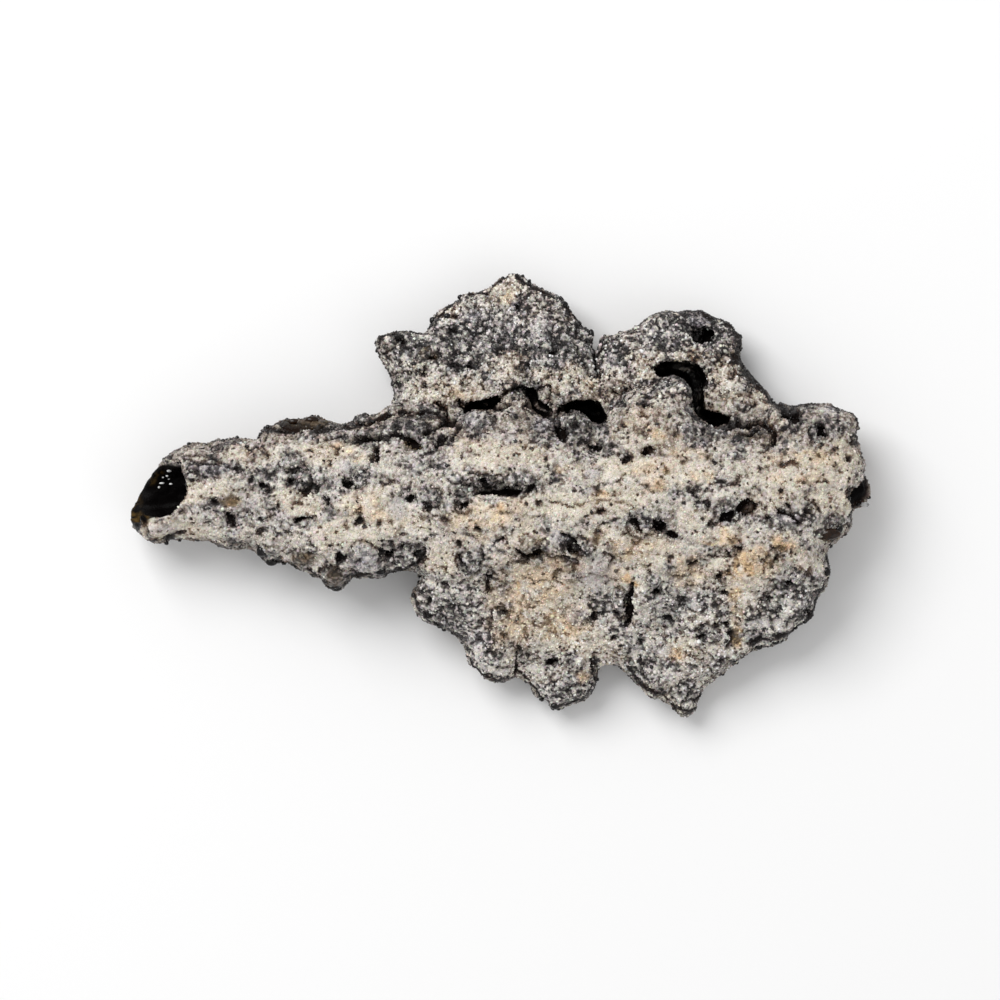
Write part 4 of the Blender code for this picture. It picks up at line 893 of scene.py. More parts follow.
def sand_tone(points, ground):
    """How light the sand is at each point, from 0 for black glass to 1 for white quartz, painted
    shade included.
    """
    leaf = ground["leaf"]
    tone = summed(TONE, ground) - LEAF_SHADE * leaf * (1.0 - 0.6 * ground["cream"])
    tone += LOBE_LIGHT * smoothstep(*LOBE_LIGHT_SIDE, points[:, 1])
    tone += LAVENDER_LIGHT * ground["lavender"] - AMBER_SHADE * ground["amber"]
    tone -= MOUTH_SHADE * smoothstep(*MOUTH_SHADE_SIDE, points[:, 0])
    # Painted shade in the valley between the tube and the wing.
    tone -= VALLEY_SHADE * np.exp(-((points[:, 1] - VALLEY_MIDDLE) / VALLEY_WIDTH) ** 2)
    near, second, number = cobbles(points, "sand")
    _, _, fine_number = cobbles(points, "fine_sand")
    drift = SAND_SHARE * number + FINE_SAND_SHARE * fine_number - 1.0
    drift += layer(points, "tone_drift")
    swing = summed(TONE_SWING, ground) * drift
    # A leaf swings further to the dark than to the light.
    tone += swing * np.where(drift > 0.0, 1.0 - 0.35 * leaf, 1.0 + 0.15 * leaf)
    # Painted shade in the seams between the sand's cells.
    seam = smoothstep(*SEAM_WIDTH, second - near)
    seam *= smoothstep(-0.3, 0.3, layer(points, "seam_break"))
    tone -= summed(SEAM_SHADE, ground) * seam
    for cells in ("long_flecks", "round_flecks"):
        fleck, _, fleck_number = cobbles(points, cells)
        fleck_size = FLECK_SIZE + FLECK_SPREAD * fleck_number ** 2
        tone -= FLECK_SHADE * smoothstep(fleck_size, 0.6 * fleck_size, fleck)
    # Painted shade in the hollows and on the sideways faces.
    tone -= summed(SHADOW, ground)
    tone -= PALE_LOSS * np.maximum(tone - PALE_LIMIT, 0.0)
    return np.clip(tone, 0.0, 1.0)


def crust_relief(points, ground, upper):
    """Height over the smooth skin in millimetres. It also says, in ground, how much painted shade
    the relief gives each point, and how grey and creamy it leaves it.
    """
    leaf = ground["leaf"]
    height = layer(points, "swell") + layer(points, "ridges") + layer(points, "fuzz")

    # Pebbles and crumbs, with sunken corners, painted with shade, where three or more meet.
    near, _, number = cobbles(points, "pebbles")
    near_crumb, _, crumb_number = cobbles(points, "crumbs")
    height += (PEBBLE_MEAN - near) * PEBBLE_HEIGHT * (1.0 - 0.5 * leaf)
    height += (CRUMB_MEAN - near_crumb) * CRUMB_HEIGHT
    corner = smoothstep(*PEBBLE_CORNER, near) * (1.0 - 0.4 * leaf)
    crumb_corner = smoothstep(*CRUMB_CORNER, near_crumb) * (crumb_number > 0.4)
    height -= PEBBLE_CORNER_DEPTH * corner + CRUMB_CORNER_DEPTH * crumb_corner

    # Lumps, with a broken moat about each, which is also painted with shade.
    lump_reach, lump_row = ellipses(points, LUMPS, *LUMP_WANDER)
    lump_size = np.array([0.5 * (half_x + half_y) for _, _, half_x, half_y in LUMPS])[lump_row]
    dome = np.sqrt(np.clip(1.0 - lump_reach ** 2, 0.0, 1.0))
    moat = smoothstep(-0.25, 0.35, layer(points, "moat_break"))
    moat *= np.exp(-((lump_reach - MOAT_MIDDLE) / MOAT_WIDTH) ** 2)
    height += upper * (LUMP_HEIGHT - LEAF_LUMP_LOSS * leaf) * lump_size * dome
    height -= upper * MOAT_DEPTH * moat

    # Pits and crevices, which are also painted with shade.
    pit_reach, pit_row = ellipses(points, PITS, *PIT_WANDER)
    pit_reach += layer(points, "pit_edge") + PIT_SHRINK
    pit_depth = np.array([PIT_DEPTH * (half_x + half_y) for _, _, half_x, half_y in PITS])[pit_row]
    darkness = np.array([1.0] * DEEP_PITS + [*PIT_DARKNESS] * len(PITS))[pit_row]
    pit = upper * darkness * smoothstep(1.1, 0.5, pit_reach)
    lines = [(half, *line) for half, _, *line in CREVICES]
    crack_reach, crack_row = cracks(points, lines, *CREVICE_WANDER)
    crack_depth = np.array([CREVICE_DEPTH * depth for _, depth, *_ in CREVICES])[crack_row]
    full = np.array([half / FULL_CREVICE for half, *_ in CREVICES])[crack_row]
    crack = upper * np.clip(full, CREVICE_FAINTEST, 1.0) * smoothstep(1.35, 0.5, crack_reach)
    height -= np.maximum(pit * pit_depth, crack * crack_depth)

    # Grooves along the tube's mouth, and the swellings of the outline.
    groove = smoothstep(0.22, 0.0, np.abs(layer(points, "mouth_grooves")))
    height -= GROOVE_DEPTH * smoothstep(*GROOVED_END, points[:, 0]) * groove
    for x, y, reach, swelling in SWELLINGS:
        away = np.hypot(points[:, 0] - x, points[:, 1] - y) / reach
        height += swelling * np.exp(-away ** 2)

    # Painted shade in the pits, cracks, corners and moats, and along the dark rim lines, which are
    # partly dark glass; and what the relief makes greyer or less creamy.
    rim_reach, _ = cracks(points, RIM_LINES, *RIM_WANDER)
    rim = smoothstep(1.6, 0.6, rim_reach) * smoothstep(-0.7, -0.1, layer(points, "rim_break"))
    lump = upper * smoothstep(1.1, 0.85, lump_reach) * (1.0 - 0.65 * leaf)
    odd_pebble = 0.7 * smoothstep(0.80, 0.86, number)
    halo = 0.7 * upper * smoothstep(2.2, 1.1, pit_reach)
    shadows = (pit, crack, 0.95 * rim, 0.6 * corner, 0.5 * crumb_corner, 0.6 * upper * moat)
    ground["dark"] = np.maximum.reduce(shadows)
    ground["cream"] = ground["cream"] * (1.0 - rim)
    ground["grey"] = np.maximum.reduce((ground["grey"], 0.85 * lump, odd_pebble, halo))
    return height


def sculpt_crust(mesh):
    """Gives the skin its relief and stores what the materials and the grains need."""
    places, normals = vertex_places(mesh)
    facing = normals[:, 2]
    upper = smoothstep(*UPPER_FACING, facing)
    ground = grounds(places, upper)
    bore = smoothstep(*BORE_WALL, bore_distance(places))
    # The glass lining of the hollow, and deep sheltered places that are painted black as shade.
    glassy = np.maximum(bore, smoothstep(*PAINTED_SHADE_SHELTER, shelter(mesh, places, normals)))
    open_air = 1.0 - glassy
    flow = sum(layer(places, name) for name in ("glass_flow", "glass_ripple", "glass_grit"))
    height = open_air * crust_relief(places, ground, upper) + glassy * flow
    # Faces that look sideways get painted shade along the rims.
    side = smoothstep(*SIDE_FACING, facing) * smoothstep(*UNDER_FACING, facing)
    ground.update(glassy=glassy, rim=side * open_air, upper=upper)
    places = places + normals * height[:, None]
    lip = smoothstep(*LIP_LEFT, places[:, 0]) * smoothstep(*LIP_BELOW, places[:, 2])
    lip *= np.exp(-((places[:, 1] - LIP_MIDDLE) / LIP_WIDTH) ** 2)
    places[:, 0] -= LIP_REACH * lip
    places[:, 2] = np.maximum(places[:, 2], FLOOR_GAP)
    ground["tone"] = sand_tone(places, ground)
    set_places(mesh, places)
    mesh.update()
    for name in STORED:
        set_value(mesh, name, ground[name])


# ---------------------------------------------------------------- grains

def grain_weight(mesh):
    """How thickly grains lie: less on the underside, on glass, in hollows and on grey sand."""
    value = {name: get_value(mesh, name) for name in STORED}
    weight = UNDERSIDE_GRAINS + (1.0 - UNDERSIDE_GRAINS) * value["upper"]
    weight *= smoothstep(0.5, 0.15, value["glassy"])
    weight *= 1.0 - 0.7 * smoothstep(0.4, 0.9, value["dark"])
    weight *= 1.0 - 0.35 * value["grey"] * (1.0 - value["leaf"])
    weight *= 1.0 - 0.6 * smoothstep(0.3, 0.8, value["amber"])
    return weight


def scatter(mesh, count, gap, weight, rng):
    """Spread places on the crust, no two closer than about gap: places, normals and values."""
    mesh.calc_loop_triangles()
    corners = np.empty(len(mesh.loop_triangles) * 3, np.int32)
    mesh.loop_triangles.foreach_get("vertices", corners)
    corners = corners.reshape(-1, 3)
    places, normals = vertex_places(mesh)
    a, b, c = (places[corners[:, index]] for index in range(3))
    area = np.linalg.norm(np.cross(b - a, c - a), axis=1)
    share = area * weight[corners].mean(axis=1)
    picked = rng.choice(len(corners), size=int(GRAIN_TRIES * count), p=share / share.sum())
    mix = rng.dirichlet((1.0, 1.0, 1.0), size=len(picked))
    spot = corners[picked]
    found = np.einsum("nk,nkd->nd", mix, places[spot])
    cells = np.floor(found / gap).astype(np.int64)
    _, first = np.unique(cells, axis=0, return_index=True)
    first = np.sort(first)[:count]
    spot, mix, found = spot[first], mix[first], found[first]
    lean = np.einsum("nk,nkd->nd", mix, normals[spot])
    lean /= np.linalg.norm(lean, axis=1, keepdims=True)
    values = {
        name: np.einsum("nk,nk->n", mix, get_value(mesh, name)[spot]) for name in STORED
    }
    return found, lean, values


def turned(shape, count, rng):
    """Copies of a shape's points, each turned its own way."""
    spin = rng.normal(size=(count, 4))
    spin /= np.linalg.norm(spin, axis=1, keepdims=True)
    w, x, y, z = spin.T
    turn = np.stack((
        1 - 2 * (y * y + z * z), 2 * (x * y - z * w), 2 * (x * z + y * w),
        2 * (x * y + z * w), 1 - 2 * (x * x + z * z), 2 * (y * z - x * w),
        2 * (x * z - y * w), 2 * (y * z + x * w), 1 - 2 * (x * x + y * y),
    ), axis=1).reshape(-1, 3, 3)
    return np.einsum("nij,kj->nki", turn, shape)


def base_shape(form):
    """The points and triangles of a form's plain shape, of radius 1: a ball or an octahedron."""
    work = bmesh.new()
    if form in BALL_ROUNDS:
        bmesh.ops.create_icosphere(work, subdivisions=BALL_ROUNDS[form], radius=1.0)
    else:
        bmesh.ops.create_uvsphere(work, u_segments=4, v_segments=2, radius=1.0)
    work.verts.index_update()
    points = np.array([vertex.co[:] for vertex in work.verts])
    faces = np.array([[vertex.index for vertex in face.verts] for face in work.faces])
    work.free()
    return points, faces


def grain_points(form, places, normals, sizes, lift, rng):
    """Turned and roughened copies of a form, partly sunk in the crust, and its triangles."""
    shape, faces = base_shape(form)
    rough = rng.uniform(*GRAIN_BUMPS, size=(len(places), len(shape), 1))
    points = turned(shape, len(places), rng) * rough * sizes[:, None, None]
    return points + (places + normals * (lift * sizes)[:, None])[:, None, :], faces


def joined_mesh(name, points, faces, tints, smooth):
    """One mesh of many small forms, with a colour for each and a place for each in its map."""
    count, size = points.shape[:2]
    places = points.reshape(-1, 3).copy()
    places[:, 2] = np.maximum(places[:, 2], FLOOR_GAP)
    corners = (faces[None] + size * np.arange(count)[:, None, None]).reshape(-1, 3)
    mesh = bpy.data.meshes.new(name)
    mesh.vertices.add(len(places))
    set_places(mesh, places)
    mesh.loops.add(corners.size)
    mesh.loops.foreach_set("vertex_index", corners.astype(np.int32).ravel())
    mesh.polygons.add(len(corners))
    mesh.polygons.foreach_set("loop_start", np.arange(0, corners.size, 3, dtype=np.int32))
    mesh.polygons.foreach_set("use_smooth", np.full(len(corners), smooth))
    colours = np.ones((count, size, 4), np.float32)
    colours[:, :, :3] = tints[:, None, :]
    tinted = mesh.attributes.new("tint", "FLOAT_COLOR", "POINT")
    tinted.data.foreach_set("color", colours.ravel())
    side = math.ceil(math.sqrt(count))
    number = np.arange(count)
    cell = np.stack((number % side, number // side), axis=1)
    spots = (cell[:, None, None, :] + np.array(MAP_CORNERS)) / side
    spots = np.broadcast_to(spots, (count, len(faces), 3, 2))
    plan = mesh.uv_layers.new(name="OFBake")
    plan.data.foreach_set("uv", spots.astype(np.float32).ravel())
    mesh.update(calc_edges=True)
    mesh.validate()
    return mesh


def mineral_tints(colours, tone, values, rng):
    """Each grain's colour as linear light, from how light it is and the ground it lies in."""
    both = []
    for minerals in (COOL_MINERALS, WARM_MINERALS):
        stops = linear([getattr(colours, name) for name in minerals])
        both.append(np.stack([np.interp(tone, MINERAL_TONES, stop) for stop in stops.T], axis=1))
    warm = np.clip(summed(WARMTH, values), 0.0, 1.0)
    tint = mixed(*both, warm[:, None])
    lit = mixed(STAIN_DARKEST, 1.0, smoothstep(0.0, 0.7, tone))
    for ground, (name, share) in STAINS.items():
        stain = linear(getattr(colours, name)) * lit[:, None]
        tint = mixed(tint, stain, (share * np.clip(values[ground], 0.0, 1.0))[:, None])
    spread = TINT_SPREAD + LEAF_TINT_SPREAD * values["leaf"][:, None]
    tint = tint * np.exp(spread * rng.normal(size=(len(tint), 1)))
    tint *= np.exp(rng.normal(0.0, HUE_SPREAD, size=(len(tint), 3)))
    return np.clip(tint, *TINT_RANGE)


def drop_mesh(mesh):
    """The larger drops of glass, each half sunk where it lies. The white ones in the tube's mouth
    are painted glints.
    """
    tree = ray_tree(mesh, vertex_places(mesh)[0])
    shape, faces = base_shape("drop")
    points = []
    tints = []
    for index, (x, y, half_x, half_y, kind) in enumerate(DROPS):
        hit = tree.ray_cast(Vector((x, y, OVER_ALL)), Vector((0.0, 0.0, -1.0)))[0]
        if hit is None:
            hit = tree.find_nearest(Vector((x, y, TUBE_MIDDLE)))[0]
        half = np.array((half_x, half_y, DROP_FLATNESS * min(half_x, half_y)))
        bumps = DROP_BUMPS * noise(shape, DROP_BUMP_SIZE, DROP_SEED + index)[:, None]
        points.append(np.array(hit) + shape * (1.0 + bumps) * half)
        tints.append(GLASS_TINTS[kind])
    return joined_mesh("glass_drops", np.array(points), faces, np.array(tints), True)


# ---------------------------------------------------------------- materials

def wired_material(name):
    """A new material with its Principled shader joined to the output."""
    material = bpy.data.materials.new(name)
    material.use_nodes = True
    tree = material.node_tree
    tree.nodes.clear()
    out = tree.nodes.new("ShaderNodeOutputMaterial")
    shader = tree.nodes.new("ShaderNodeBsdfPrincipled")
    tree.links.new(shader.outputs["BSDF"], out.inputs["Surface"])
    return material, tree, shader


def stored(tree, name, output="Fac"):
    """The vertex number of that name, or the colour where the output says Color."""
    found = tree.nodes.new("ShaderNodeAttribute")
    found.attribute_name = name
    return found.outputs[output]


def plug(tree, socket, value):
    """Sets an input to a number or a colour, or joins it to another node's output."""
    if isinstance(value, bpy.types.NodeSocket):
        tree.links.new(value, socket)
    else:
        socket.default_value = value


def calc(tree, operation, *values):
    """A Math node's result from its two or three inputs."""
    found = tree.nodes.new("ShaderNodeMath")
    found.operation = operation
    for socket, value in zip(found.inputs, values):
        plug(tree, socket, value)
    return found.outputs[0]


def summed_nodes(tree, recipe, values):
    """What summed does, as Math nodes."""
    total, shares = recipe
    for ground, share in shares.items():
        total = calc(tree, "MULTIPLY_ADD", values[ground], share, total)
    return total


def blend_colour(tree, share, first, second, mode="MIX"):
    """A Mix node for colours: first where share is 0, second where it is 1."""
    found = tree.nodes.new("ShaderNodeMix")
    found.data_type = "RGBA"
    found.blend_type = mode
    found.clamp_factor = True
    plug(tree, found.inputs[0], share)
    plug(tree, found.inputs[6], first)
    plug(tree, found.inputs[7], second)
    return found.outputs[2]


def shaded(tree, colour, shade):
    """The colour multiplied by a number."""
    grey = tree.nodes.new("ShaderNodeCombineColor")
    for index in range(3):
        plug(tree, grey.inputs[index], shade)
    return blend_colour(tree, 1.0, colour, grey.outputs[0], "MULTIPLY")


def scaled_texture(tree, kind, size, output="Fac", **settings):
    """A texture node's output in the object's own coordinates, with features of the size."""
    where = tree.nodes.new("ShaderNodeTexCoord")
    found = tree.nodes.new(kind)
    found.inputs["Scale"].default_value = 1.0 / (size * MM)
    for name, value in settings.items():
        found.inputs[name].default_value = value
    tree.links.new(where.outputs["Object"], found.inputs["Vector"])
    return found.outputs[output]


def opaque(colour):
    """A screen colour of 0 to 1 as linear light with its alpha."""
    return (*linear(colour), 1.0)


def mineral_ramp(tree, tone, colours, minerals):
    """The minerals' colours, from the darkest to the lightest, by the tone."""
    ramp = tree.nodes.new("ShaderNodeValToRGB")
    tree.links.new(tone, ramp.inputs["Fac"])
    while len(ramp.color_ramp.elements) < len(minerals):
        ramp.color_ramp.elements.new(0.5)
    for element, place, name in zip(ramp.color_ramp.elements, MINERAL_TONES, minerals):
        element.position = place
        element.color = opaque(getattr(colours, name))
    return ramp.outputs["Color"]


def sand_colour(tree, colours, values, cloud):
    """The fused sand's colour: minerals by their tone, then stains, then painted shade on the sides
    and in the hollows, then glass, which also paints deep hollows black as shade.
    """
    crumbs = scaled_texture(tree, "ShaderNodeTexVoronoi", CRUMB_SIZE, "Color")
    split = tree.nodes.new("ShaderNodeSeparateColor")
    tree.links.new(crumbs, split.inputs[0])
    crumb = calc(tree, "SUBTRACT", split.outputs[0], 0.5)
    swing = calc(tree, "MULTIPLY_ADD", values["leaf"], LEAF_CRUMB_SWING, CRUMB_SWING)
    tone = calc(tree, "MULTIPLY_ADD", crumb, swing, values["tone"])
    tone = calc(tree, "SUBTRACT", tone, 0.5 * CLOUD_SWING)
    tone = calc(tree, "MULTIPLY_ADD", cloud, CLOUD_SWING, tone)
    ramps = [mineral_ramp(tree, tone, colours, each) for each in (COOL_MINERALS, WARM_MINERALS)]
    warm = summed_nodes(tree, WARMTH, values)
    colour = blend_colour(tree, warm, *ramps)
    colour = blend_colour(tree, CRUMB_HUE, colour, crumbs, "SOFT_LIGHT")
    mottle = calc(tree, "MULTIPLY_ADD", tone, STAIN_GAIN, STAIN_BASE)
    for ground, (name, share) in STAINS.items():
        stain = calc(tree, "MULTIPLY", values[ground], share)
        spotted = shaded(tree, opaque(getattr(colours, name)), mottle)
        colour = blend_colour(tree, stain, colour, spotted)
    # Painted shade on the sideways faces along the rims.
    side_shade = calc(tree, "MULTIPLY", values["rim"], SHADED_RIM_SHARE)
    colour = blend_colour(tree, side_shade, colour, opaque(colours.dark_grey))
    # Painted shade in the pits, cracks and corners: black, browner in warm sand.
    brown = calc(tree, "MULTIPLY", warm, PIT_WARMTH)
    pit = blend_colour(tree, brown, opaque(colours.black_glass_and_shade), opaque(colours.pit_shade_brown))
    colour = blend_colour(tree, values["dark"], colour, pit)
    # The glass lining of the hollow, which also paints deep sheltered places black as shade.
    colour = blend_colour(tree, values["glassy"], colour, opaque(colours.bore_black_and_shade))
    wisps = calc(tree, "MULTIPLY_ADD", cloud, AMBER_GAIN, AMBER_BASE)
    inner = calc(tree, "MULTIPLY", values["amber"], values["glassy"])
    inner = calc(tree, "MULTIPLY", inner, wisps)
    return blend_colour(tree, inner, colour, opaque(colours.amber_glass))


def fused_sand(colours):
    """Speckled sand: pale or grey by the stored ground, with painted shade in the hollows and on
    the sides, and black where it has run to glass and where deep hollows are painted black as
    shade.
    """
    material, tree, shader = wired_material("fused_sand")
    values = {name: stored(tree, name) for name in STORED}
    cloud = scaled_texture(tree, "ShaderNodeTexNoise", CLOUD_SIZE, Detail=3.0)
    plug(tree, shader.inputs["Base Color"], sand_colour(tree, colours, values, cloud))
    rough = summed_nodes(tree, ROUGHNESS, values)
    plug(tree, shader.inputs["Roughness"], calc(tree, "MAXIMUM", rough, LEAST_ROUGHNESS))
    bright = summed_nodes(tree, SPECULAR, values)
    plug(tree, shader.inputs["Specular IOR Level"], calc(tree, "MAXIMUM", bright, LEAST_SPECULAR))
    grit = scaled_texture(tree, "ShaderNodeTexNoise", GRIT_SIZE, Detail=4.0, Roughness=0.6)
    rise = tree.nodes.new("ShaderNodeBump")
    rise.inputs["Strength"].default_value = GRIT_STRENGTH
    plug(tree, rise.inputs["Distance"], summed_nodes(tree, GRIT_HEIGHT, values))
    tree.links.new(grit, rise.inputs["Height"])
    tree.links.new(rise.outputs["Normal"], shader.inputs["Normal"])
    return material


def tinted_material(name, cloud, shade, roughness):
    """A material in each form's own colour. A cloud of noise, given by its size and settings,
    sets the shade and the roughness, each by a gain and a base.
    """
    material, tree, shader = wired_material(name)
    size, settings = cloud
    texture = scaled_texture(tree, "ShaderNodeTexNoise", size, **settings)
    light = calc(tree, "MULTIPLY_ADD", texture, *shade)
    colour = shaded(tree, stored(tree, "tint", "Color"), light)
    plug(tree, shader.inputs["Base Color"], colour)
    plug(tree, shader.inputs["Roughness"], calc(tree, "MULTIPLY_ADD", texture, *roughness))
    return material, shader


def grain_stone(name, roughness):
    """Loose mineral: each grain its own colour, a little clouded."""
    cloud = (GRAIN_CLOUD_SIZE, {"Detail": 2.0})
    gloss = (GRAIN_CLOUD_GLOSS, roughness - GRAIN_GLOSS_LIFT)
    material, _ = tinted_material(name, cloud, GRAIN_SHADE, gloss)
    return material


def drop_glass():
    """Melted glass, tinted by its own drop, with a smooth outer gloss."""
    cloud = (GLASS_SWIRL_SIZE, {"Detail": 3.0, "Distortion": 0.8})
    material, shader = tinted_material("drop_glass", cloud, GLASS_SHADE, GLASS_ROUGHNESS)
    shader.inputs["Specular IOR Level"].default_value = GLASS_SPECULAR
    shader.inputs["Coat Weight"].default_value = GLASS_COAT
    shader.inputs["Coat Roughness"].default_value = GLASS_COAT_ROUGHNESS
    return material


# ---------------------------------------------------------------- settings

def tint(name, description, colour):
    """A colour that a user may change, given as seen on screen from 0 to 255."""
    return FloatVectorProperty(
        name=name, description=description, subtype="COLOR_GAMMA", min=0.0, max=1.0,
        default=tuple(part / 255.0 for part in colour),
    )


def length(name, description, millimetres):
    """A length that a user may change, given in millimetres."""
    return FloatProperty(
        name=name, description=description, unit="LENGTH", subtype="DISTANCE",
        default=millimetres * MM, min=0.01 * MM, precision=5,
    )


def number_of(name, description, default):
    """A whole number of 1 or more that a user may change."""
    return IntProperty(name=name, description=description, default=default, min=1)


class FulguriteMinerals(bpy.types.PropertyGroup):
    """Colours of the sand and the glass, and of the painted shade, as seen on screen"""

    white_quartz: tint("White quartz", "Clear and milky grains", (236, 232, 224))
    cream_quartz: tint("Cream quartz", "Most of the pale sand", (216, 207, 192))
    pale_tan: tint("Pale tan", "Dusty sand", (194, 183, 168))
    tan_sand: tint("Tan sand", "Shaded sand", (157, 139, 119))
    brown_iron: tint("Brown iron", "Iron specks", (98, 70, 50))
    umber_glass: tint("Umber glass", "The darkest brown specks", (28, 19, 15))
    silver_grey: tint("Silver grey", "Frosted grains", (210, 206, 199))
    pale_grey: tint("Pale grey", "Half-melted grains", (184, 181, 179))
    mid_grey: tint("Mid grey", "Glassy grains", (130, 127, 124))
    # Also the painted shade on the sideways faces along the rims.
    dark_grey: tint("Dark grey", "Smoky glass", (72, 70, 71))
    # Also the painted shade in the cool pits.
    black_glass_and_shade: tint("Black glass", "Fully melted specks", (18, 15, 15))
    ochre_stain: tint("Ochre stain", "Sand stained by iron", (231, 191, 138))
    lavender_glass: tint("Lavender glass", "Frosted violet-grey glass", (176, 169, 176))
    amber_glass: tint("Amber glass", "Brown glass with iron", (98, 76, 40))
    # The painted shade inside warm pits.
    pit_shade_brown: tint("Pit brown", "Inside of the small pits", (50, 32, 22))
    # The glass lining of the tube, also painted shade in deep, sheltered hollows.
    bore_black_and_shade: tint("Bore black", "Glass lining of the tube", (9, 7, 7))


class FulguriteCrust(bpy.types.PropertyGroup):
    """Sizes of the displaced crust"""

    skin: length("Skin size", "Size of the skin's first faces", 0.275)
    ease: number_of("Easing rounds", "How often the skin is smoothed", 6)
    triangles: number_of("Crust triangles", "Triangles in the crust", 196000)


class FulguriteGrains(bpy.types.PropertyGroup):
    """Numbers and sizes of the loose grains and the glass beads"""

    small: number_of("Small grains", "Number of angular grains", 74000)
    large: number_of("Large grains", "Number of rounded grains", 5000)
    beads: number_of("Rim beads", "Number of glass beads on the rims", 500)
    small_radius: length("Small grain radius", "Mean radius of an angular grain", 0.135)
    large_radius: length("Large grain radius", "Mean radius of a rounded grain", 0.20)
    bead_radius: length("Bead radius", "Mean radius of a glass bead", 0.26)


class FulguriteStage(bpy.types.PropertyGroup):
    """The floor, the lights and the camera"""

    floor_size: length("Floor size", "Side of the square floor", 3000.0)
    floor_colour: tint("Floor colour", "The pale floor", (246, 246, 246))
    key_power: FloatProperty(
        name="Key light", description="Power of the large soft light", unit="POWER", default=5.0
    )
    fill_power: FloatProperty(
        name="Fill light", description="Power of the second soft light", unit="POWER", default=1.0
    )
    sky: FloatProperty(name="Sky", description="Brightness of the pale sky", default=0.55)
    view_width: length("View width", "What the camera takes in at the object", 122.0)
    distance: length("Camera distance", "From the camera to the object", 900.0)


# ---------------------------------------------------------------- operators

class FULGURITE_OT_crust(bpy.types.Operator):
    """Build the displaced crust that stands for the plain solid"""

    bl_idname = "fulgurite.crust"
    bl_label = "Build crust"

    def execute(self, context):
        sizes = context.scene.fulgurite_crust
        mesh = fine_skin(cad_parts[NODE], sizes.skin, sizes.ease, sizes.triangles)
        sculpt_crust(mesh)
        mesh.name = CRUST
        mesh.materials.append(fused_sand(context.scene.fulgurite_minerals))
        piece = link(CRUST, mesh)
        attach(piece, BODY)
        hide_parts(NODE)
        return {"FINISHED"}


def crust_mesh():
    """The crust's mesh, which the grains and the glass lie on."""
    if CRUST not in bpy.data.objects:
        raise RuntimeError("the crust has to be built before what lies on it")
    return bpy.data.objects[CRUST].data


class FULGURITE_OT_grains(bpy.types.Operator):
    """Set the crust with joined mineral grains, one piece for each group and form"""

    bl_idname = "fulgurite.grains"
    bl_label = "Set grains"

    def execute(self, context):
        sizes = context.scene.fulgurite_grains
        colours = context.scene.fulgurite_minerals
        mesh = crust_mesh()
        weight = grain_weight(mesh)
        rng = np.random.default_rng(GRAIN_SEED)
        kinds = (
            ("rounded", sizes.large, sizes.large_radius / MM, ROUNDED_LIFT, True),
            ("angular", sizes.small, sizes.small_radius / MM, 0.0, False),
        )
        made = {group: {} for group in GRAIN_GROUPS}
        for form, count, radius, lift, smooth in kinds:
            places, normals, values = scatter(mesh, count, GRAIN_GAP * radius, weight, rng)
            tone = sand_tone(places, values)
            tints = mineral_tints(colours, tone, values, rng)
            spread = np.exp(rng.normal(0.0, GRAIN_SPREAD, len(places)))
            radii = radius * np.clip(spread, *GRAIN_RANGE)
            points, faces = grain_points(form, places, normals, radii, lift, rng)
            for group, (low, high, _) in GRAIN_GROUPS.items():
                mine = (low <= tone) & (tone < high)
                made[group][form] = (points[mine], faces, tints[mine], smooth)
        for group, forms in made.items():
            material = grain_stone(group, GRAIN_GROUPS[group][2])
            for form, (points, faces, tints, smooth) in forms.items():
                limit = PIECE_TRIANGLES // len(faces)
                for part, start in enumerate(range(0, len(points), limit)):
                    name = f"{form}_{group}" + (f"_{part + 1}" if part else "")
                    few = slice(start, start + limit)
                    joined = joined_mesh(name, points[few], faces, tints[few], smooth)
                    joined.materials.append(material)
                    piece = link(name, joined)
                    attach(piece, BODY)
        return {"FINISHED"}


class FULGURITE_OT_glass(bpy.types.Operator):
    """Add the glass drops and the small black beads along the rims, partly black glass and partly
    painted shade under the rims' grains
    """

    bl_idname = "fulgurite.glass"
    bl_label = "Add glass"

    def execute(self, context):
        sizes = context.scene.fulgurite_grains
        mesh = crust_mesh()
        rng = np.random.default_rng(GLASS_SEED)
        # The black beads sit on the sideways faces: partly black glass, partly painted shade under
        # the rims' grains.
        weight = get_value(mesh, "rim") * (1.0 - get_value(mesh, "glassy"))
        places, normals, _ = scatter(mesh, sizes.beads, BEAD_GAP, weight, rng)
        radii = sizes.bead_radius / MM * rng.uniform(*BEAD_RANGE, len(places))
        points, faces = grain_points("bead", places, normals, radii, BEAD_LIFT, rng)
        middle = points.mean(axis=1, keepdims=True)
        points = middle + (points - middle) * BEAD_SHRINK
        tints = np.tile(GLASS_TINTS["black"], (len(places), 1))
        tints *= np.exp(rng.normal(*BEAD_TINT_SPREAD, size=(len(places), 1)))
        beads = joined_mesh("rim_beads", points, faces, tints, True)
        material = drop_glass()
        for joined in (beads, drop_mesh(mesh)):
            joined.materials.append(material)
            piece = link(joined.name, joined)
            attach(piece, BODY)
        return {"FINISHED"}


def pale_floor(size, colour):
    """A square floor at z 0, very slightly uneven in its shade."""
    work = bmesh.new()
    bmesh.ops.create_grid(work, x_segments=1, y_segments=1, size=0.5 * size)
    ground = bpy.data.meshes.new("floor")
    work.to_mesh(ground)
    work.free()
    material, tree, shader = wired_material("pale_floor")
    cloud = scaled_texture(tree, "ShaderNodeTexNoise", FLOOR_CLOUD_SIZE, Detail=2.0)
    shade = calc(tree, "MULTIPLY", cloud, FLOOR_CLOUD_SHARE)
    colour = blend_colour(tree, shade, opaque(colour), FLOOR_CLOUD)
    plug(tree, shader.inputs["Base Color"], colour)
    plug(tree, shader.inputs["Roughness"], FLOOR_ROUGHNESS)
    ground.materials.append(material)
    return link("floor", ground)


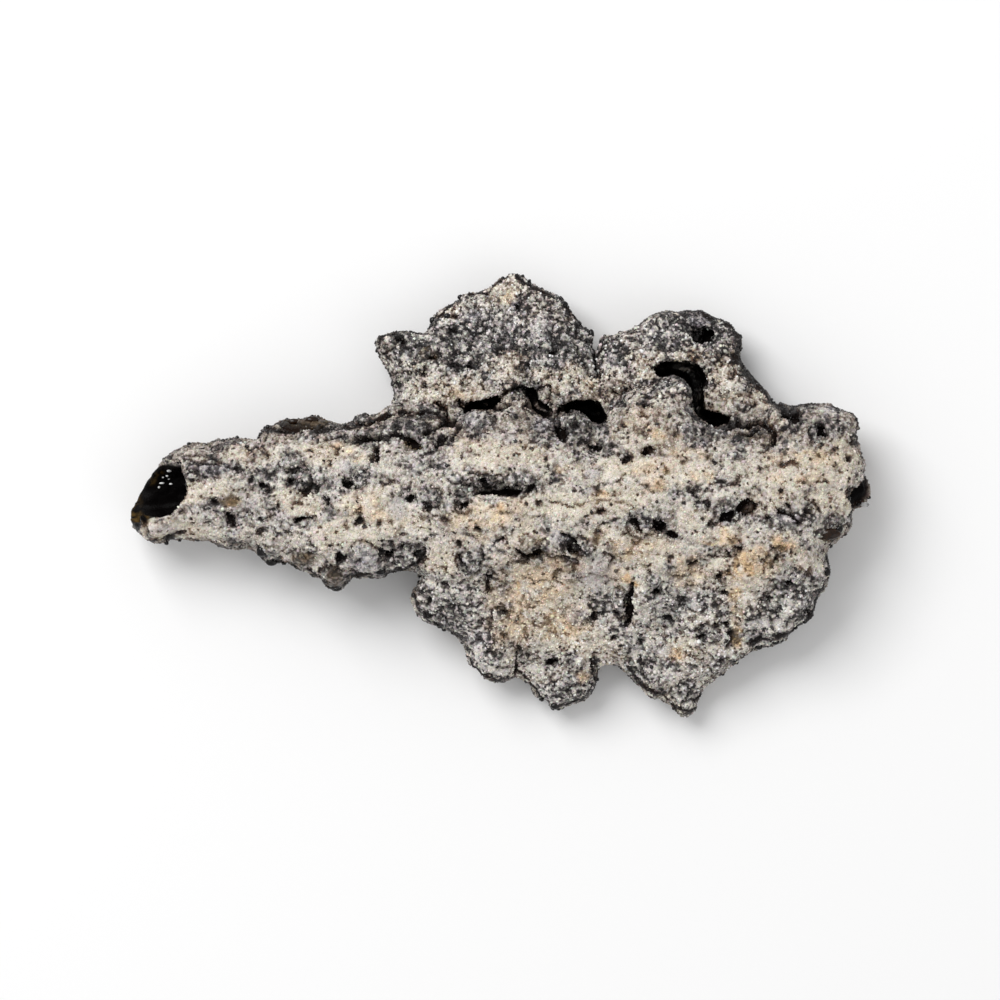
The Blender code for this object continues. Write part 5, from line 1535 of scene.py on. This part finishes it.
def soft_light(name, power, size, place):
    """A large square lamp that looks at the object."""
    lamp = bpy.data.lights.new(name, "AREA")
    lamp.energy = power
    lamp.size = size
    piece = link(name, lamp)
    piece.location = place
    piece.rotation_euler = (-Vector(place)).to_track_quat("-Z", "Y").to_euler()


class FULGURITE_OT_stage(bpy.types.Operator):
    """Lay the pale floor, hang the soft lights and set the camera straight above"""

    bl_idname = "fulgurite.stage"
    bl_label = "Set stage"

    def execute(self, context):
        sizes = context.scene.fulgurite_stage
        floor = pale_floor(sizes.floor_size, sizes.floor_colour)
        soft_light("key_light", sizes.key_power, KEY_SIZE, KEY_PLACE)
        soft_light("fill_light", sizes.fill_power, FILL_SIZE, FILL_PLACE)
        world = bpy.data.worlds.new("pale_sky")
        world.use_nodes = True
        sky = world.node_tree.nodes["Background"]
        sky.inputs["Color"].default_value = (1.0, 1.0, 1.0, 1.0)
        sky.inputs["Strength"].default_value = sizes.sky
        context.scene.world = world
        context.scene.view_settings.view_transform = "Standard"
        lens = bpy.data.cameras.new("camera")
        lens.sensor_width = LENS_SENSOR
        lens.lens = LENS_SENSOR * sizes.distance / sizes.view_width
        camera = link("camera", lens)
        camera.location = Vector(VIEW_MIDDLE) * MM + Vector((0.0, 0.0, sizes.distance))
        context.scene.camera = camera
        return {"FINISHED"}


class FULGURITE_PT_panel(bpy.types.Panel):
    """Lists the steps in their order, with their settings"""

    bl_idname = "FULGURITE_PT_panel"
    bl_label = "Fulgurite"
    bl_space_type = "VIEW_3D"
    bl_region_type = "UI"
    bl_category = "Fulgurite"

    def draw(self, context):
        for step, group in STEPS:
            box = self.layout.box()
            settings = getattr(context.scene, group)
            for name in type(settings).__annotations__:
                box.prop(settings, name)
            box.operator(step)


STEPS = (
    ("fulgurite.crust", "fulgurite_crust"),
    ("fulgurite.grains", "fulgurite_grains"),
    ("fulgurite.glass", "fulgurite_minerals"),
    ("fulgurite.stage", "fulgurite_stage"),
)
GROUPS = {
    "fulgurite_minerals": FulguriteMinerals,
    "fulgurite_crust": FulguriteCrust,
    "fulgurite_grains": FulguriteGrains,
    "fulgurite_stage": FulguriteStage,
}
CLASSES = (
    *GROUPS.values(), FULGURITE_OT_crust, FULGURITE_OT_grains, FULGURITE_OT_glass,
    FULGURITE_OT_stage, FULGURITE_PT_panel,
)


def register():
    for each in CLASSES:
        bpy.utils.register_class(each)
    for name, group in GROUPS.items():
        setattr(bpy.types.Scene, name, PointerProperty(type=group))


def unregister():
    for name in GROUPS:
        delattr(bpy.types.Scene, name)
    for each in reversed(CLASSES):
        bpy.utils.unregister_class(each)


def main():
    """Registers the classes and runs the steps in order."""
    register()
    bpy.ops.fulgurite.crust()
    bpy.ops.fulgurite.grains()
    bpy.ops.fulgurite.glass()
    bpy.ops.fulgurite.stage()


if __name__ == "__main__":
    main()
